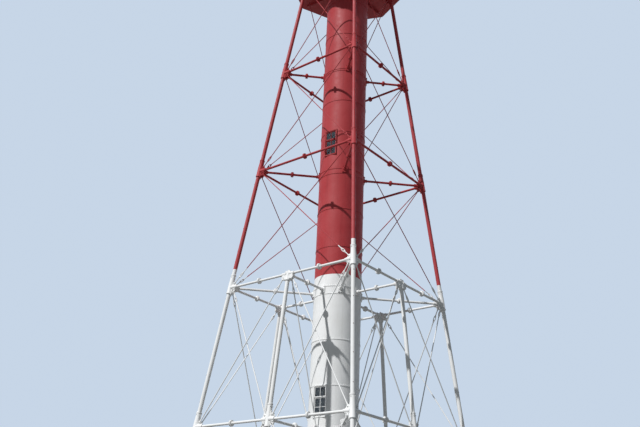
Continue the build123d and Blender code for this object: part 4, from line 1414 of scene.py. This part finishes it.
# Lantern
lantern_deck = deck_plates(LANTERN_DECK_RADIUS, WATCH_TOP, LANTERN_FLOOR, 0.25)
make_piece("lantern_deck_plates", lantern_deck, red, "lantern_deck")
lantern_rails = railing(LANTERN_DECK_RADIUS - 0.050, LANTERN_FLOOR, 0.850, 1)
make_piece("lantern_rails_and_posts", lantern_rails, red, "lantern_railing")

parapet_height, glazing_height = GLAZING_FOOT - LANTERN_FLOOR, GLAZING_TOP - GLAZING_FOOT
sill_width = 2 * LANTERN_APOTHEM * EIGHTH_TAN + 0.01
pane_width = 2 * (MULLION_OUT * EIGHTH_SIN - 0.026)
glazing_middle = (GLAZING_FOOT + GLAZING_TOP) / 2
parapet, lantern_panes = [], []
post = block((0.056, 0.056, glazing_height), (MULLION_OUT, 0, glazing_middle))
cover = block((0.012, 0.034, glazing_height), (MULLION_OUT + 0.033, 0, glazing_middle))
bars = around([post, cover], 8)
for up in (0.016, glazing_height / 3, 2 * glazing_height / 3, glazing_height - 0.016):
    rail = block((pane_width, 0.030, 0.040), (0, up, PANE_APOTHEM))
    bars += [moved(rail, panel_place(number, GLAZING_FOOT)) for number in range(8)]
for number in range(8):
    sill = block((sill_width, 0.024, 0.100), (0, parapet_height - 0.010, LANTERN_APOTHEM - 0.026))
    wall = panel_wall(LANTERN_APOTHEM, 0.060, parapet_height)
    shapes = [wall, *panel_trim(LANTERN_APOTHEM, parapet_height), sill]
    parapet += placed(shapes, panel_place(number, LANTERN_FLOOR))
    pane = block((pane_width, glazing_height - 0.004, 0.008), (0, glazing_height / 2, PANE_APOTHEM))
    lantern_panes.append(moved(pane, panel_place(number, GLAZING_FOOT)))
make_piece("lantern_parapet_plates", parapet, red, "lantern_parapet")
make_piece("lantern_mullions_and_bars", bars, red, "lantern_mullions", bevel=CAST_EDGE)
make_piece("lantern_glass", lantern_panes, glass, "lantern_panes")

eaves = ((1.270, 0), (1.290, 0.012), (1.290, 0.070), (1.275, 0.082))
eaves = [(out, GLAZING_TOP + up) for out, up in eaves]
roof = [lathe([(0, GLAZING_TOP), *eaves, (0.190, ROOF_TOP), (0, ROOF_TOP)], 8)]
ridge = bar((1.272, 0, GLAZING_TOP + 0.084), (0.196, 0, ROOF_TOP - 0.004), 0.017, 12)
seam = bar((1.170, 0, GLAZING_TOP + 0.094), (0.182, 0, ROOF_TOP - 0.006), 0.009, 8)
roof += around([ridge], 8) + around([seam], 8, HALF_EIGHTH)
make_piece("lantern_roof_plates", roof, red, "lantern_roof", bevel=CAST_EDGE)

ball_centre, ball_radius = ROOF_TOP + 0.355, 0.185
ball = [(ball_radius * cos(radians(a)), ball_radius * sin(radians(a))) for a in range(-66, 76, 8)]
neck = (
    (0, -0.02), (0.190, -0.02), (0.190, 0.012), (0.160, 0.022), (0.155, 0.140), (0.168, 0.150),
    (0.168, 0.168), (0.080, 0.176),
)
spike_foot = ((0.030, 0.188), (0.024, 0.215), (0.013, 0.225))
spike = ((0.012, 0.110), (0.019, 0.100), (0.012, 0.088))
ventilator = [
    *((out, ROOF_TOP + up) for out, up in neck),
    *((out, ball_centre + up) for out, up in (*ball, *spike_foot)),
    *((out, TIP_HEIGHT - down) for out, down in spike),
    (0, TIP_HEIGHT),
]
make_piece("ventilator_and_lightning_rod", [lathe(ventilator, 40)], red, "ventilator", sharp=30)


# Stage: floor, light and camera
def make_floor():
    """A plain pale floor that lights the tower from below no more than ground would."""
    nodes = Nodes(bpy.data.materials.new("floor"))
    colour = nodes.mix(nodes.seen(), (0.16, 0.16, 0.15), (0.78, 0.78, 0.77))
    mesh = bpy.data.meshes.new("floor")
    ends = [(*end, 0) for end in corners(FLOOR_HALF, FLOOR_HALF)]
    mesh.from_pydata(ends, [], [(0, 2, 3, 1)])
    mesh.materials.append(nodes.finish({"Base Color": colour, "Roughness": 0.9}))
    floor = bpy.data.objects.new("floor", mesh)
    floor.location.z = -0.002
    bpy.context.scene.collection.objects.link(floor)


def make_light():
    """Soft sky all round and a broad sun from the photograph's side."""
    world = bpy.data.worlds.new("studio")
    bpy.context.scene.world = world
    nodes = Nodes(world)
    sky = {"Color": SKY_COLOUR, "Strength": SKY_STRENGTH}
    backdrop = {"Color": BACKDROP_COLOUR, "Strength": 1.0}
    shaders = [nodes.add("ShaderNodeBackground", None, look).outputs[0] for look in (sky, backdrop)]
    choice = nodes.add("ShaderNodeMixShader", None, dict(enumerate([nodes.seen(), *shaders])))
    nodes.add("ShaderNodeOutputWorld", None, {"Surface": choice.outputs[0]})
    lamp = bpy.data.lights.new("sun", "SUN")
    lamp.energy = SUN_STRENGTH
    lamp.angle = radians(SUN_WIDTH)
    sun = bpy.data.objects.new("sun", lamp)
    azimuth, elevation = radians(SUN_AZIMUTH), radians(SUN_ELEVATION)
    towards = Vector((cos(azimuth) * cos(elevation), sin(azimuth) * cos(elevation), sin(elevation)))
    sun.rotation_mode = "QUATERNION"
    sun.rotation_quaternion = towards.to_track_quat("Z", "Y")
    sun.location = towards * SUN_DISTANCE
    bpy.context.scene.collection.objects.link(sun)


def make_camera():
    """The camera of the photograph, from its place and the way it looks."""
    yaw, pitch, roll = radians(CAMERA_YAW), radians(CAMERA_PITCH), radians(CAMERA_ROLL)
    forward = Vector((sin(yaw) * cos(pitch), cos(yaw) * cos(pitch), sin(pitch)))
    level = Vector((cos(yaw), -sin(yaw), 0))
    upward = level.cross(forward)
    right = level * cos(roll) + upward * sin(roll)
    up = upward * cos(roll) - level * sin(roll)
    data = bpy.data.cameras.new("camera")
    data.lens = CAMERA_LENS
    data.sensor_width = CAMERA_SENSOR
    camera = bpy.data.objects.new("camera", data)
    matrix = Matrix((right, up, -forward)).transposed().to_4x4()
    matrix.translation = Vector(CAMERA_PLACE)
    camera.matrix_world = matrix
    bpy.context.scene.collection.objects.link(camera)
    bpy.context.scene.camera = camera


make_floor()
make_light()
make_camera()
bpy.context.scene.view_settings.view_transform = "Standard"
